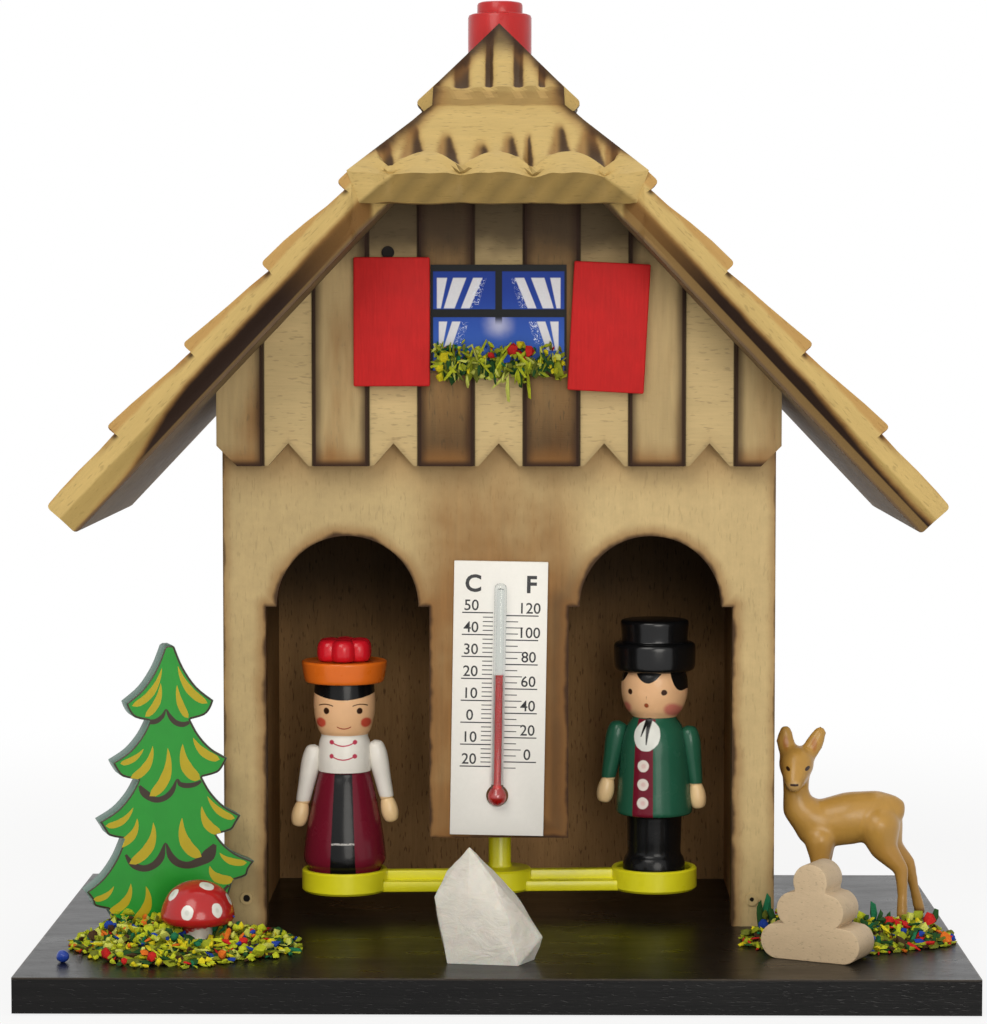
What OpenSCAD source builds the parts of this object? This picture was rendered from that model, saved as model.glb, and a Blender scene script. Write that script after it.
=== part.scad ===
// Weather house: a gut string turns a balance arm that carries a woman and a man
// through two arched doorways. Millimetres, +Z up, -Y is the front.
// The origin is the middle of the underside of the base board.

/* [Base board] */
// Thickness of the base board
base_t = 7; // [5:0.5:12]
// Base board beyond the front panel on each side
base_side = 35.9; // [34:0.1:50]
// Base board in front of the front panel
base_front = 54; // [52:0.5:70]
// Base board behind the back panel
base_rear = 2; // [1:0.5:8]

/* [Walls] */
// Thickness of the front panel
panel_t = 5; // [4:0.5:6]
// Width of the centre post between the doorways
post_w = 28.8; // [26:0.2:34]
// Width of each doorway below the arch
door_w = 33.9; // [33:0.1:40]
// Width of the leg outside each doorway
leg_w = 8.8; // [8:0.2:14]
// Height of the doorway shoulders above the base
door_h = 66.6; // [65:0.2:72]
// Radius of the doorway arches
arch_r = 14.7; // [12:0.1:16]
// Gap under the centre post, where the arm passes
post_gap = 18.5; // [14:0.5:24]
// Thickness of the side walls
wall_t = 5; // [4:0.25:6]
// Step from the front panel's edge back to the wall's outer face
wall_inset = 2.1; // [1:0.1:3]
// Depth of the room from the front panel to the back panel
room_d = 52; // [50:0.5:70]
// Thickness of the back panel
back_t = 3; // [2:0.5:5]

/* [Gable] */
// Thickness of the gable panel
gable_t = 5; // [4:0.5:7]
// Gable panel beyond the front panel on each side
gable_lap = 0.75; // [0.2:0.05:2]
// Height of the gable panel's lower edge above the base
gable_z = 95.9; // [92:0.1:100]
// Corner cut at each end of the lower edge
gable_cut = 4.2; // [2:0.1:6]
// Number of routed strips in the gable panel
strip_n = 5; // [3:2:5]
// Width of one routed strip
strip_w = 10.6; // [9.5:0.1:14]
// Spacing of the routed strips
strip_pitch = 21.6; // [20:0.1:22]
// Depth of the routed strips
strip_d = 1.2; // [0.5:0.1:2]
// Width of the V notch under each strip
notch_w = 8.3; // [4:0.1:9]
// Height of the V notch
notch_h = 4.7; // [2:0.1:6]

/* [Window] */
// Width of the window card
window_w = 27.7; // [24:0.1:32]
// Height of the window card
window_h = 21.6; // [18:0.1:24]
// Thickness of the window card
window_t = 0.6; // [0.4:0.1:1]
// Height of the window card above the gable's lower edge
window_z = 19.6; // [18:0.1:24]
// Width of each shutter
shutter_w = 15.6; // [12:0.1:17]
// Height of each shutter
shutter_h = 26.3; // [22:0.1:28]
// Thickness of the shutters
shutter_t = 2; // [1:0.1:3]
// Drop of the shutters below the window card
shutter_drop = 4; // [2:0.1:6]
// Tilt of the right shutter, glued on a little askew
shutter_tilt = 3; // [0:0.5:5]
// Radius of one lump of flower crumbs on the sill
flower_r = 2.7; // [2.4:0.1:3.2]
// Number of lumps of flower crumbs
flower_n = 9; // [8:1:11]
// Depth of the flower crumbs in front of the window card
flower_t = 3.2; // [2:0.1:4]

/* [Roof] */
// Pitch of the roof in degrees
roof_pitch = 46.5; // [44:0.5:48]
// Height of the roof's underside at the edge of the gable
eave_z = 111; // [108:0.5:118]
// Thickness of the roof boards in the thin part of a course
roof_t = 8; // [6:0.5:10]
// Height of the step at the lower edge of each course
lip = 2.2; // [1:0.1:3]
// Length of one course down the slope
course_len = 22.2; // [20:0.2:24]
// First lip below the ridge, down the slope
first_lip = 13.4; // [12:0.2:16]
// Number of lips on each slope
lip_n = 5; // [4:1:5]
// Length of the last course below the last lip
tail_len = 20; // [14:0.5:22]
// Roof in front of the gable panel
roof_front = 20; // [14:0.5:26]
// Roof behind the back panel
roof_rear = 2; // [0.5:0.5:6]
// Half-hip lip in front of the roof's front edges
hip_over = 3; // [1:0.5:6]
// Height of the half-hip's front edge, square to its slope
hip_edge = 6; // [4:0.5:8]
// Number of carved flutes down the half-hip
flute_n = 5; // [3:2:7]
// Spacing of the carved flutes
flute_pitch = 9.5; // [8:0.5:12]
// Radius of the gouge that cut the flutes
flute_r = 5; // [4:0.5:7]
// Depth of the flutes
flute_d = 1; // [0.4:0.1:1.6]

/* [Chimney knob and gut] */
// Diameter of the chimney
chimney_d = 13.3; // [12:0.1:16]
// Height of the chimney body above its seat
chimney_h = 9.9; // [8:0.1:14]
// Diameter of the chimney's cap
cap_d = 9.5; // [7:0.1:11]
// Height of the chimney's cap
cap_h = 2.5; // [1.5:0.1:4]
// Depth of the chimney's seat below the ridge
seat_d = 7; // [6:0.5:9]
// Diameter of the knob's spindle
spindle_d = 5; // [4:0.1:5.5]
// Depth of the spindle in the chimney
spindle_in = 6; // [4:0.5:7]
// Outside diameter of the spindle bush
bush_d = 8; // [7:0.1:9]
// Length of the spindle bush
bush_h = 8; // [6:0.5:9]
// Height of the ridge block
block_h = 14; // [13:0.5:18]
// Length of the ridge block along the ridge
block_l = 20; // [12:0.5:22]
// Diameter of the collar under the bush
collar_d = 10; // [8:0.5:12]
// Height of the collar
collar_h = 3; // [2:0.5:5]
// Spindle below the collar
spindle_tail = 6; // [5:0.5:10]
// Diameter of the gut string
gut_d = 0.9; // [0.6:0.1:1.2]
// Length of gut held in the spindle
gut_in = 7; // [4:0.5:9]
// Diameter of the wedge that clamps the gut in the post
wedge_d = 2.6; // [2.2:0.1:3]
// Length of the wedge
wedge_h = 7; // [4:0.5:12]

/* [Balance arm] */
// Distance of the arm's axis behind the front panel
axis_in = 12; // [11.6:0.1:16]
// Arm's radius beyond the middle of the doorways
arm_out = 1.6; // [0.5:0.1:2]
// Angle of the arm as it rests in the photograph
arm_rest = 3; // [-5:0.5:5]
// Air between the base board and the arm
arm_air = 4.8; // [3:0.2:8]
// Width of the rails' flange
flange_w = 8; // [5:0.5:9]
// Height of the rails' flange
flange_h = 2.3; // [1.5:0.1:2.6]
// Width of the rails' rib
rib_w = 2.6; // [1.5:0.1:4]
// Height of the rib above the flange
rib_h = 2; // [1:0.1:2.2]
// Diameter of the dishes
dish_d = 18.2; // [17.8:0.1:19]
// Height of the dishes and the hub
dish_h = 4.7; // [4:0.1:6]
// Wall of the dishes
dish_wall = 1.2; // [0.8:0.1:1.4]
// Floor of the dishes
dish_floor = 2.3; // [1.5:0.1:2.4]
// Diameter of the hub
hub_d = 13.6; // [10:0.1:16]
// Diameter of the post
arm_post_d = 4.8; // [4:0.1:6]
// Height of the post above the hub
arm_post_h = 36; // [20:0.5:60]

/* [Woman] */
// Diameter of the skirt at its widest
skirt_d = 17.3; // [16:0.1:17.4]
// Height of the skirt above the dish
skirt_h = 20.4; // [19:0.1:23]
// Diameter of the waist
waist_d = 10.8; // [10:0.1:12]
// Diameter of the bodice
bodice_d = 11.4; // [11:0.1:12]
// Height of the bodice
bodice_h = 8; // [7.5:0.1:9]
// Diameter of the woman's head
woman_head_d = 13.1; // [12:0.1:14]
// Height of the woman's head up to the brim
woman_head_h = 11.3; // [10:0.1:12]
// Diameter of the brim
brim_d = 18.2; // [16:0.1:18.4]
// Height of the brim
brim_h = 4.7; // [3:0.1:6]
// Radius of one pompom
pompom_r = 2.6; // [2:0.1:3]

/* [Man] */
// Diameter of the shoes
shoe_d = 13.3; // [12:0.1:14]
// Height of the shoes above the dish
shoe_h = 3; // [2:0.1:4]
// Diameter of the legs
leg_d = 11.8; // [10:0.1:12]
// Height of the legs above the shoes
man_leg_h = 8.4; // [7:0.1:10]
// Diameter of the jacket at its hem
jacket_d = 15.6; // [14:0.1:16]
// Height of the jacket
jacket_h = 20.6; // [19:0.1:22]
// Diameter of the man's head
man_head_d = 14.2; // [13:0.1:15]
// Height of the man's head up to the hat
man_head_h = 9.8; // [9:0.1:11]
// Diameter of the hat's brim
hat_brim_d = 17.4; // [15:0.1:18]
// Height of the hat's brim
hat_brim_h = 6.2; // [4:0.1:7]
// Diameter of the hat's crown
crown_d = 14.5; // [12:0.1:15]
// Height of the hat's crown above the brim
crown_h = 4.8; // [3:0.1:6]
// Turn of the man towards the middle of the house
man_turn = -6; // [-10:1:10]

/* [Figures] */
// Length of the arms
limb_h = 18; // [16:0.1:19]
// Radius of the sleeves
sleeve_r = 1.9; // [1.6:0.05:2.1]
// Radius of the hands
hand_r = 1.75; // [1.5:0.05:1.9]
// Diameter of the pegs under the figures
peg_d = 2; // [1.5:0.1:3]
// Depth of the pegs in the figures
peg_in = 6; // [4:0.5:10]

/* [Thermometer] */
// Width of the thermometer card
card_w = 19.4; // [17:0.1:24]
// Height of the thermometer card
card_h = 57; // [50:0.5:60]
// Thickness of the thermometer card
card_t = 0.8; // [0.75:0.05:1.2]
// Card's lower edge above the end of the centre post
card_up = 0.6; // [0:0.1:6]
// Lean of the card, glued on a little askew
card_tilt = 1; // [0:0.25:2]
// Outside diameter of the glass tube
tube_d = 2.5; // [2.4:0.1:3]
// Bore of the glass tube
tube_bore = 1.5; // [1.2:0.1:1.7]
// Length of the tube above the bulb
tube_h = 43; // [30:0.5:45]
// Outside diameter of the bulb
bulb_d = 3.9; // [3.6:0.1:4]
// Wall of the bulb
bulb_wall = 0.4; // [0.3:0.05:0.5]
// Height of the bulb above the card's lower edge
bulb_z = 8.3; // [6:0.1:10]
// Height of the red spirit above the bulb
spirit_h = 24.6; // [10:0.1:28]

/* [Tree and toadstool] */
// Middle of the fir tree beyond the front panel's edge
tree_out = 9.8; // [9:0.1:12]
// Tree in front of the front panel
tree_fore = 9.5; // [9:0.5:14]
// Height of the fir tree
tree_h = 59.8; // [50:0.2:66]
// Width of the fir tree's lowest tier
tree_w = 35; // [28:0.5:36]
// Width of the fir tree's top tier
tree_top_w = 18.2; // [14:0.2:22]
// Height of the lowest left tip below the lowest right one
tree_skew = 4.6; // [0:0.2:6]
// Thickness of the fir tree
tree_t = 5; // [4:0.25:6]
// Turn of the fir tree about the vertical
tree_turn = 18; // [0:1:20]
// Diameter of the toadstool's cap
toad_d = 15; // [12:0.2:17]
// Height of the toadstool's cap
toad_cap_h = 8.6; // [6:0.1:10]
// Height of the toadstool's stem below the cap
toad_stem_h = 4.4; // [4.2:0.1:7]
// Diameter of the toadstool's stem
toad_stem_d = 6; // [4:0.1:7]
// Toadstool to the right of the tree's middle
toad_right = 6.3; // [4:0.1:8]
// Toadstool in front of the tree's middle
toad_fore = 11; // [10:0.1:16]

/* [Yard] */
// Height of the heaps of moss crumbs
moss_h = 3.6; // [2:0.1:3.8]
// Radius of the left heap's broad lobe
moss_r = 17; // [14:0.5:18]
// Radius of the right heap's lobes
moss_side_r = 12.5; // [9:0.5:12.6]
// Diameter of the blue bead
bead_d = 2.5; // [2:0.1:3]
// Width of the bush block
bush_w = 20.8; // [17:0.1:22]
// Height of the bush block
bush_tall = 19.2; // [17:0.1:22]
// Thickness of the bush block
bush_t = 8.4; // [5:0.1:9]
// Turn of the bush block about the vertical
bush_turn = -27; // [-32:1:0]
// Middle of the bush block beyond the front panel's edge
bush_out = 6.2; // [4:0.1:10]
// Bush block in front of the front panel
bush_fore = 33; // [31:0.5:38]
// Height of the fawn to the tips of its ears
fawn_h = 40.4; // [36:0.1:42]
// Middle of the fawn beyond the front panel's edge
fawn_out = 17.4; // [17:0.1:19]
// Middle of the fawn behind the front panel's face
fawn_in = 9; // [6:0.5:14]
// Height of the quartz stone
stone_h = 23; // [18:0.5:26]
// Quartz stone left of the house's middle
stone_left = 1.8; // [0:0.1:6]
// Quartz stone in front of the front panel
stone_fore = 36; // [34:0.5:42]

/* [Fasteners and fits] */
// Diameter of the base screws
screw_d = 2.4; // [1.8:0.1:2.6]
// Head diameter of the base screws
screw_head_d = 5; // [4:0.1:6]
// Length of the base screws
screw_l = 18; // [14:0.5:24]
// Diameter of the pins
pin_d = 1.2; // [0.8:0.1:1.6]
// Head diameter of the pins
pin_head_d = 2.6; // [2:0.1:3]
// Height of the pin heads
pin_head_h = 0.5; // [0.3:0.1:0.8]
// Length of the pins
pin_l = 12; // [8:0.5:16]
// Gap of a glued joint
glue = 0.03; // [0.02:0.01:0.06]
// Radial clearance of a running fit
run = 0.05; // [0.03:0.01:0.1]
// Air between pieces that pass each other
air = 0.3; // [0.2:0.05:0.5]

/* [Hidden] */
$fn = 48;

// House plan
panel_w = post_w + 2 * door_w + 2 * leg_w;
door_x = (post_w + door_w) / 2;
gable_x = panel_w / 2 + gable_lap;
base_w = panel_w + 2 * base_side;
base_d = base_front + panel_t + room_d + back_t + base_rear;
panel_y = base_front - base_d / 2;
room_y = panel_y + panel_t;
back_y = room_y + room_d;
gable_y = panel_y - gable_t;
wall_out = panel_w / 2 - wall_inset;
wall_mid = wall_out - wall_t / 2;
window_y = gable_y - window_t;

// Roof lines: u runs down the slope from the underside of the ridge, v stands square to it
rise = tan(roof_pitch);
ridge_z = base_t + eave_z + gable_x * rise;
function slope_x(u, v) = u * cos(roof_pitch) + v * sin(roof_pitch);
function slope_z(u, v) = ridge_z - u * sin(roof_pitch) + v * cos(roof_pitch);
function under_z(x) = ridge_z - x * rise;
roof_y0 = gable_y - roof_front;
roof_y1 = back_y + back_t + roof_rear;
full_t = roof_t + lip;
tail_u = first_lip + (lip_n - 1) * course_len + tail_len;
hip_u = first_lip + course_len;
hip_y = roof_y0 - hip_over + slope_x(hip_u, full_t);
far = 3 * (tail_u + base_w);

// Axis of the arm and the knob
axis_y = room_y + axis_in;
seat_z = ridge_z + full_t / cos(roof_pitch) - seat_d;
block_z = ridge_z - block_h;
collar_z = block_z - air - collar_h;
spindle_z = collar_z - spindle_tail;
spindle_top = seat_z + spindle_in;

// Balance arm
arm_r = door_x + arm_out;
arm_z = base_t + arm_air;
floor_z = arm_z + dish_floor;
rim_z = arm_z + dish_h;
foot_z = floor_z + glue;
post_top = rim_z + arm_post_h;

// Figures
woman_brim_z = rim_z + skirt_h + bodice_h + woman_head_h;
hem_z = rim_z + shoe_h + man_leg_h;
man_chin_z = hem_z + jacket_h;
man_hat_z = man_chin_z + man_head_h;
foot_d = dish_d - 2 * dish_wall - 2 * air;

// Yard
tree_x = -panel_w / 2 - tree_out;
tree_y = panel_y - tree_fore;
toad_x = tree_x + toad_right;
toad_y = tree_y - toad_fore;
fawn_x = panel_w / 2 + fawn_out;
fawn_y = panel_y + fawn_in;
bush_x = panel_w / 2 + bush_out;
bush_y = panel_y - bush_fore;
moss_x = panel_w / 2 + moss_side_r;
moss_y = panel_y - moss_side_r - air;
wood = [0.79, 0.68, 0.48];
roof_wood = [0.86, 0.75, 0.52];
brown = [0.55, 0.38, 0.22];
dark = [0.25, 0.2, 0.15];
red = [0.78, 0.15, 0.16];
black = [0.14, 0.14, 0.13];
yellow = [0.82, 0.8, 0.14];
skin = [0.9, 0.73, 0.54];
steel = [0.6, 0.6, 0.6];

// Draws a front elevation and gives it depth towards +Y from y0
module upright(y0, depth) {
    translate([0, y0 + depth, 0]) rotate([90, 0, 0]) linear_extrude(depth) children();
}

// A smooth lathe outline through [radius, height] points
function blend(a, b, c, d, t) = 0.5 * (2 * b + (c - a) * t + (2 * a - 5 * b + 4 * c - d) * t * t
    + (3 * b - a - 3 * c + d) * t * t * t);
function smooth(p, n = 4) = let (m = len(p) - 1) concat(
    [for (i = [0 : m - 1], k = [0 : n - 1])
        blend(p[max(i - 1, 0)], p[i], p[i + 1], p[min(i + 2, m)], k / n)], [p[m]]);
module lathe(p, grow = 0) {
    m = len(p) - 1;
    rotate_extrude() polygon(concat([[0, p[0][1]]],
        [for (q = p) [q[0] + grow, q[1]]], [[0, p[m][1]]]));
}

// A low round heap with base radius r and height h
module heap(r, h) {
    big = (r * r + h * h) / (2 * h);
    rotate_extrude() intersection() {
        translate([0, h - big]) circle(big, $fn = 96);
        square([r + 1, h + 1]);
    }
}

// The house outline under the roof, down to height z0, for half width w
module house_face(w, z0) {
    polygon([[-w, z0], [w, z0], [w, under_z(w) - glue], [0, ridge_z - glue], [-w, under_z(w) - glue]]);
}

screw_in = pin_l + 2 * screw_d;
module screw_places() for (s = [-1, 1], y = [room_y + screw_in, back_y - screw_in])
    translate([s * wall_mid, y, 0]) children();
module panel_pin_places() for (s = [-1, 1])
    translate([s * wall_mid, panel_y, base_t + leg_w * 0.65]) rotate([-90, 0, 0]) children();
module gable_pin_place()
    translate([-strip_pitch - strip_w * 0.1, gable_y + strip_d, pin_z]) rotate([-90, 0, 0]) children();
pin_z = base_t + gable_z + window_z + window_h + 2.5;
gable_pin_l = gable_t - strip_d + panel_t - 2;
module back_pin_places() for (s = [-1, 1], z = [screw_l + pin_head_d, base_t + door_h])
    translate([s * wall_mid, back_y + back_t, z]) rotate([90, 0, 0]) children();
module pin(len) {
    translate([0, 0, -pin_head_h]) cylinder(d = pin_head_d, h = pin_head_h);
    cylinder(d = pin_d, h = len);
}
module pin_hole(len) translate([0, 0, -1]) cylinder(d = pin_d + 2 * glue, h = len + 1 + glue);

// The space over the half-hip's underside, in front of the ridge's end
module above_hip() translate([0, hip_y, ridge_z - glue]) rotate([roof_pitch, 0, 0])
    translate([-far / 2, -far, 0]) cube([far, far, far]);

module base_board() color(black) difference() {
    translate([-base_w / 2, -base_d / 2, 0]) cube([base_w, base_d, base_t]);
    screw_places() {
        translate([0, 0, -1]) cylinder(d = screw_d + 2 * glue, h = base_t + 2);
        translate([0, 0, -glue]) cylinder(d1 = screw_head_d + 2 * glue, d2 = screw_d + 2 * glue,
            h = (screw_head_d - screw_d) / 2 + glue);
    }
}

module front_panel() color(wood) difference() {
    upright(panel_y, panel_t) difference() {
        house_face(panel_w / 2, base_t);
        for (s = [-1, 1]) {
            translate([s * door_x - door_w / 2, base_t - 1]) square([door_w, door_h + 1]);
            translate([s * door_x, base_t + door_h]) circle(arch_r, $fn = 96);
        }
        translate([-door_x, base_t - 1]) square([2 * door_x, post_gap + 1]);
    }
    above_hip();
    panel_pin_places() pin_hole(pin_l);
    gable_pin_place() pin_hole(gable_pin_l);
}

module gable_panel() color(brown) difference() {
    z0 = base_t + gable_z;
    upright(gable_y, gable_t - glue) difference() {
        house_face(gable_x, z0);
        for (s = [-1, 1]) polygon([[s * (gable_x + 1), z0 - 1], [s * (gable_x - gable_cut - 1), z0 - 1],
            [s * (gable_x + 1), z0 + gable_cut + 1]]);
        for (i = [0 : strip_n - 1]) translate([(i - (strip_n - 1) / 2) * strip_pitch, z0])
            polygon([[-notch_w / 2 - notch_w / notch_h / 2, -1], [notch_w / 2 + notch_w / notch_h / 2, -1],
                [0, notch_h]]);
    }
    for (i = [0 : strip_n - 1])
        translate([(i - (strip_n - 1) / 2) * strip_pitch - strip_w / 2, gable_y - 1, z0 - 1])
            cube([strip_w, strip_d + 1, ridge_z]);
    above_hip();
    gable_pin_place() pin_hole(gable_pin_l);
}

// A side wall on the right, its top cut to the roof's underside
module wall() difference() {
    x0 = wall_out - wall_t;
    upright(room_y + glue, room_d - 2 * glue) polygon([[x0, base_t], [wall_out, base_t],
        [wall_out, under_z(wall_out) - glue], [x0, under_z(x0) - glue]]);
    screw_places() cylinder(d = screw_d + 2 * glue, h = screw_l + glue);
    panel_pin_places() pin_hole(pin_l);
    back_pin_places() pin_hole(pin_l);
}
module left_wall() color(dark) mirror([1, 0, 0]) wall();
module right_wall() color(dark) wall();

module back_panel() color(dark) difference() {
    upright(back_y, back_t) house_face(panel_w / 2, base_t);
    back_pin_places() pin_hole(pin_l);
}

// Stepped section of a slope from the ridge to u1, in plan distance and height
function course_points(n, u1) = concat(
    [[-full_t * rise - 1, full_t], [first_lip, full_t], [first_lip, roof_t]],
    [for (i = [1 : n - 1], k = [0, 1])
        [first_lip + i * course_len, k == 0 ? full_t : roof_t]],
    [[u1, roof_t]]);
function section(p) = [for (q = p) [slope_x(q[0], q[1]), slope_z(q[0], q[1])]];

module hip_plan() translate([0, 0, ridge_z - far / 2]) linear_extrude(far)
    polygon([[0, hip_y], [far, hip_y - far], [-far, hip_y - far]]);

module roof_slope() difference() {
    upright(roof_y0, roof_y1 - roof_y0) intersection() {
        polygon(section(concat(course_points(lip_n, tail_u), [[tail_u, 0], [-roof_t, 0]])));
        translate([glue, 0]) square([far, far]);
    }
    translate([0, glue * 2, 0]) hip_plan();
    translate([0, axis_y, seat_z]) cylinder(d = chimney_d + 2 * air, h = far);
    translate([0, axis_y, block_z]) cylinder(d = spindle_d + 4 * air, h = far);
}
module left_roof() color(roof_wood) mirror([1, 0, 0]) roof_slope();
module right_roof() color(roof_wood) roof_slope();

module roof_hip() color(roof_wood) difference() {
    edge = [hip_u, full_t - hip_edge];
    edge_z = slope_z(edge[0], edge[1]);
    intersection() {
        translate([-far / 2, hip_y, 0]) rotate([90, 0, 90]) linear_extrude(far) mirror([1, 0])
            polygon(concat(section(concat([[-full_t * rise - 1, full_t], [first_lip, full_t],
                [first_lip, roof_t], [hip_u, full_t], edge])),
                [[(ridge_z - edge_z) / rise, edge_z], [-1, ridge_z + rise]]));
        hip_plan();
    }
    for (i = [0 : flute_n - 1])
        translate([(i - (flute_n - 1) / 2) * flute_pitch, hip_y - slope_x(0, full_t + flute_r - flute_d),
            slope_z(0, full_t + flute_r - flute_d)])
            rotate([90 + roof_pitch, 0, 0]) translate([0, 0, -far / 2]) cylinder(r = flute_r, h = far);
}

module ridge_block() color(wood) difference() {
    half = block_h / rise;
    upright(axis_y - block_l / 2, block_l)
        polygon([[-half, block_z], [half, block_z], [0, ridge_z - glue]]);
    translate([0, axis_y, block_z - 1]) cylinder(d = bush_d + 2 * glue, h = bush_h + 1);
    translate([0, axis_y, block_z]) cylinder(d = spindle_d + 4 * air, h = far);
}

module spindle_bush() color([0.75, 0.6, 0.3]) translate([0, axis_y, block_z]) difference() {
    cylinder(d = bush_d, h = bush_h - glue);
    translate([0, 0, -1]) cylinder(d = spindle_d + 2 * run, h = bush_h + 2);
}

module chimney_knob() color(red) translate([0, axis_y, seat_z + run]) difference() {
    lathe([[chimney_d / 2 - 0.4, 0], [chimney_d / 2, 0.4], [chimney_d / 2, chimney_h - 0.6],
        [chimney_d / 2 - 0.6, chimney_h], [cap_d / 2, chimney_h], [cap_d / 2, chimney_h + cap_h - 0.5],
        [cap_d / 2 - 0.5, chimney_h + cap_h]]);
    translate([0, 0, -1]) cylinder(d = spindle_d + 2 * glue, h = spindle_in + 1);
}

module knob_spindle() color(steel) difference() {
    translate([0, axis_y, spindle_z]) cylinder(d = spindle_d, h = spindle_top - spindle_z - glue);
    translate([0, axis_y, spindle_z - 1]) cylinder(d = gut_d + 2 * run, h = gut_in + air + 1);
}

module knob_collar() color(steel) translate([0, axis_y, collar_z]) difference() {
    cylinder(d = collar_d, h = collar_h);
    translate([0, 0, -1]) cylinder(d = spindle_d + 2 * glue, h = collar_h + 2);
}

// Places what rides on the arm, with the arm's axis at the origin
module on_arm() translate([0, axis_y, 0]) rotate([0, 0, arm_rest]) children();
module at_woman() on_arm() translate([-arm_r, 0, 0]) rotate([0, 0, -arm_rest]) children();
module at_man() on_arm() translate([arm_r, 0, 0]) rotate([0, 0, man_turn - arm_rest]) children();

module gut_string() color([0.85, 0.78, 0.6]) translate([0, axis_y, post_top - wedge_h])
    cylinder(d = gut_d, h = spindle_z + gut_in - post_top + wedge_h);

module gut_wedge() color([0.8, 0.7, 0.5]) translate([0, axis_y, post_top - wedge_h]) difference() {
    cylinder(d = wedge_d, h = wedge_h);
    translate([0, 0, -1]) cylinder(d = gut_d + 2 * glue, h = wedge_h + 2);
}

module balance_arm() color(yellow) on_arm() difference() {
    union() {
        translate([-arm_r, -flange_w / 2, arm_z]) cube([2 * arm_r, flange_w, flange_h]);
        translate([-arm_r, -rib_w / 2, arm_z]) cube([2 * arm_r, rib_w, flange_h + rib_h]);
        for (s = [-1, 1]) translate([s * arm_r, 0, arm_z]) cylinder(d = dish_d, h = dish_h);
        translate([0, 0, arm_z]) cylinder(d = hub_d, h = dish_h);
        translate([0, 0, arm_z]) cylinder(d = arm_post_d, h = dish_h + arm_post_h);
    }
    for (s = [-1, 1]) translate([s * arm_r, 0, 0]) {
        translate([0, 0, floor_z]) cylinder(d = dish_d - 2 * dish_wall, h = dish_h);
        translate([0, 0, arm_z - 1]) cylinder(d = peg_d + 2 * glue, h = dish_h);
    }
    translate([0, 0, post_top - wedge_h - glue]) cylinder(d = wedge_d + 2 * glue, h = wedge_h + 1);
}

woman_points = smooth([[foot_d / 2 - 0.6, foot_z], [foot_d / 2, foot_z + 0.6], [foot_d / 2, rim_z],
    [skirt_d / 2, rim_z + 2.2], [skirt_d / 2 - 0.4, rim_z + 5],
    [(skirt_d + waist_d) / 4, rim_z + skirt_h * 0.62], [waist_d / 2, rim_z + skirt_h],
    [bodice_d / 2, rim_z + skirt_h + bodice_h * 0.42], [bodice_d / 2 - 0.9, rim_z + skirt_h + bodice_h],
    [woman_head_d / 2 - 0.4, rim_z + skirt_h + bodice_h + woman_head_h * 0.22],
    [woman_head_d / 2, rim_z + skirt_h + bodice_h + woman_head_h * 0.6],
    [woman_head_d / 2 - 0.2, woman_brim_z]], 3);
man_points = smooth([[shoe_d / 2 - 0.7, foot_z], [shoe_d / 2, foot_z + 0.8], [shoe_d / 2, rim_z + shoe_h - 1],
    [leg_d / 2, rim_z + shoe_h], [leg_d / 2 - 0.3, hem_z - 1], [jacket_d / 2 - 1, hem_z],
    [jacket_d / 2, hem_z + 0.8], [jacket_d / 2 - 0.7, hem_z + jacket_h * 0.5],
    [jacket_d / 2 - 1.2, hem_z + jacket_h * 0.82], [jacket_d / 2 - 3.2, man_chin_z],
    [man_head_d / 2 - 0.7, man_chin_z + man_head_h * 0.22],
    [man_head_d / 2, man_chin_z + man_head_h * 0.6], [man_head_d / 2 - 0.5, man_hat_z]], 3);

module turned_body(points) difference() {
    lathe(points);
    translate([0, 0, foot_z - 1]) cylinder(d = peg_d + 2 * glue, h = peg_in + 1 + glue);
}
module woman_body() color([0.43, 0.1, 0.16]) at_woman() turned_body(woman_points);
module man_body() color([0.16, 0.33, 0.25]) at_man() turned_body(man_points);

module woman_brim() color([0.84, 0.43, 0.12]) at_woman() translate([0, 0, woman_brim_z + glue])
    lathe([[brim_d / 2 - 0.9, 0], [brim_d / 2 - 0.3, 0.6], [brim_d / 2, brim_h - 0.5],
        [brim_d / 2 - 0.5, brim_h]]);

module woman_pompoms() color([0.8, 0.14, 0.18]) at_woman()
    translate([0, 0, woman_brim_z + brim_h + 2 * glue]) intersection() {
        union() {
            for (i = [0 : 5]) rotate([0, 0, 60 * i + 30]) translate([pompom_r * 1.38, 0, pompom_r * 0.8])
                sphere(pompom_r);
            translate([0, 0, pompom_r * 0.8]) sphere(pompom_r);
        }
        cylinder(r = brim_d, h = brim_d);
    }

// One arm hanging from the shoulder, hand down, cut to lie against the body
limb_points = smooth([[0.2, 0], [hand_r * 0.85, 0.9], [hand_r, 2.4], [hand_r * 0.8, 4.2],
    [sleeve_r * 0.72, 5], [sleeve_r * 0.86, limb_h * 0.55], [sleeve_r, limb_h * 0.82],
    [sleeve_r * 0.75, limb_h - 0.7], [0.2, limb_h]], 3);
module limb(side, points, hand_x, hand_z, lean) difference() {
    translate([side * hand_x, 0, hand_z]) rotate([0, -side * lean, 0]) lathe(limb_points);
    lathe(points, glue * 2);
}
woman_hand_z = rim_z + skirt_h + bodice_h - limb_h - 1.6;
man_hand_z = man_chin_z - limb_h - 1.6;
woman_hand_x = bodice_d / 2 + sleeve_r * 2.3;
man_hand_x = jacket_d / 2 + sleeve_r * 0.9;
module woman_left_arm() color([0.88, 0.86, 0.82]) at_woman()
    limb(-1, woman_points, woman_hand_x, woman_hand_z, 12);
module woman_right_arm() color([0.88, 0.86, 0.82]) at_woman()
    limb(1, woman_points, woman_hand_x, woman_hand_z + 1, 12);
module man_left_arm() color([0.16, 0.33, 0.25]) at_man()
    limb(-1, man_points, man_hand_x, man_hand_z + 1, 8);
module man_right_arm() color([0.16, 0.33, 0.25]) at_man()
    limb(1, man_points, man_hand_x, man_hand_z, 8);

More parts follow.
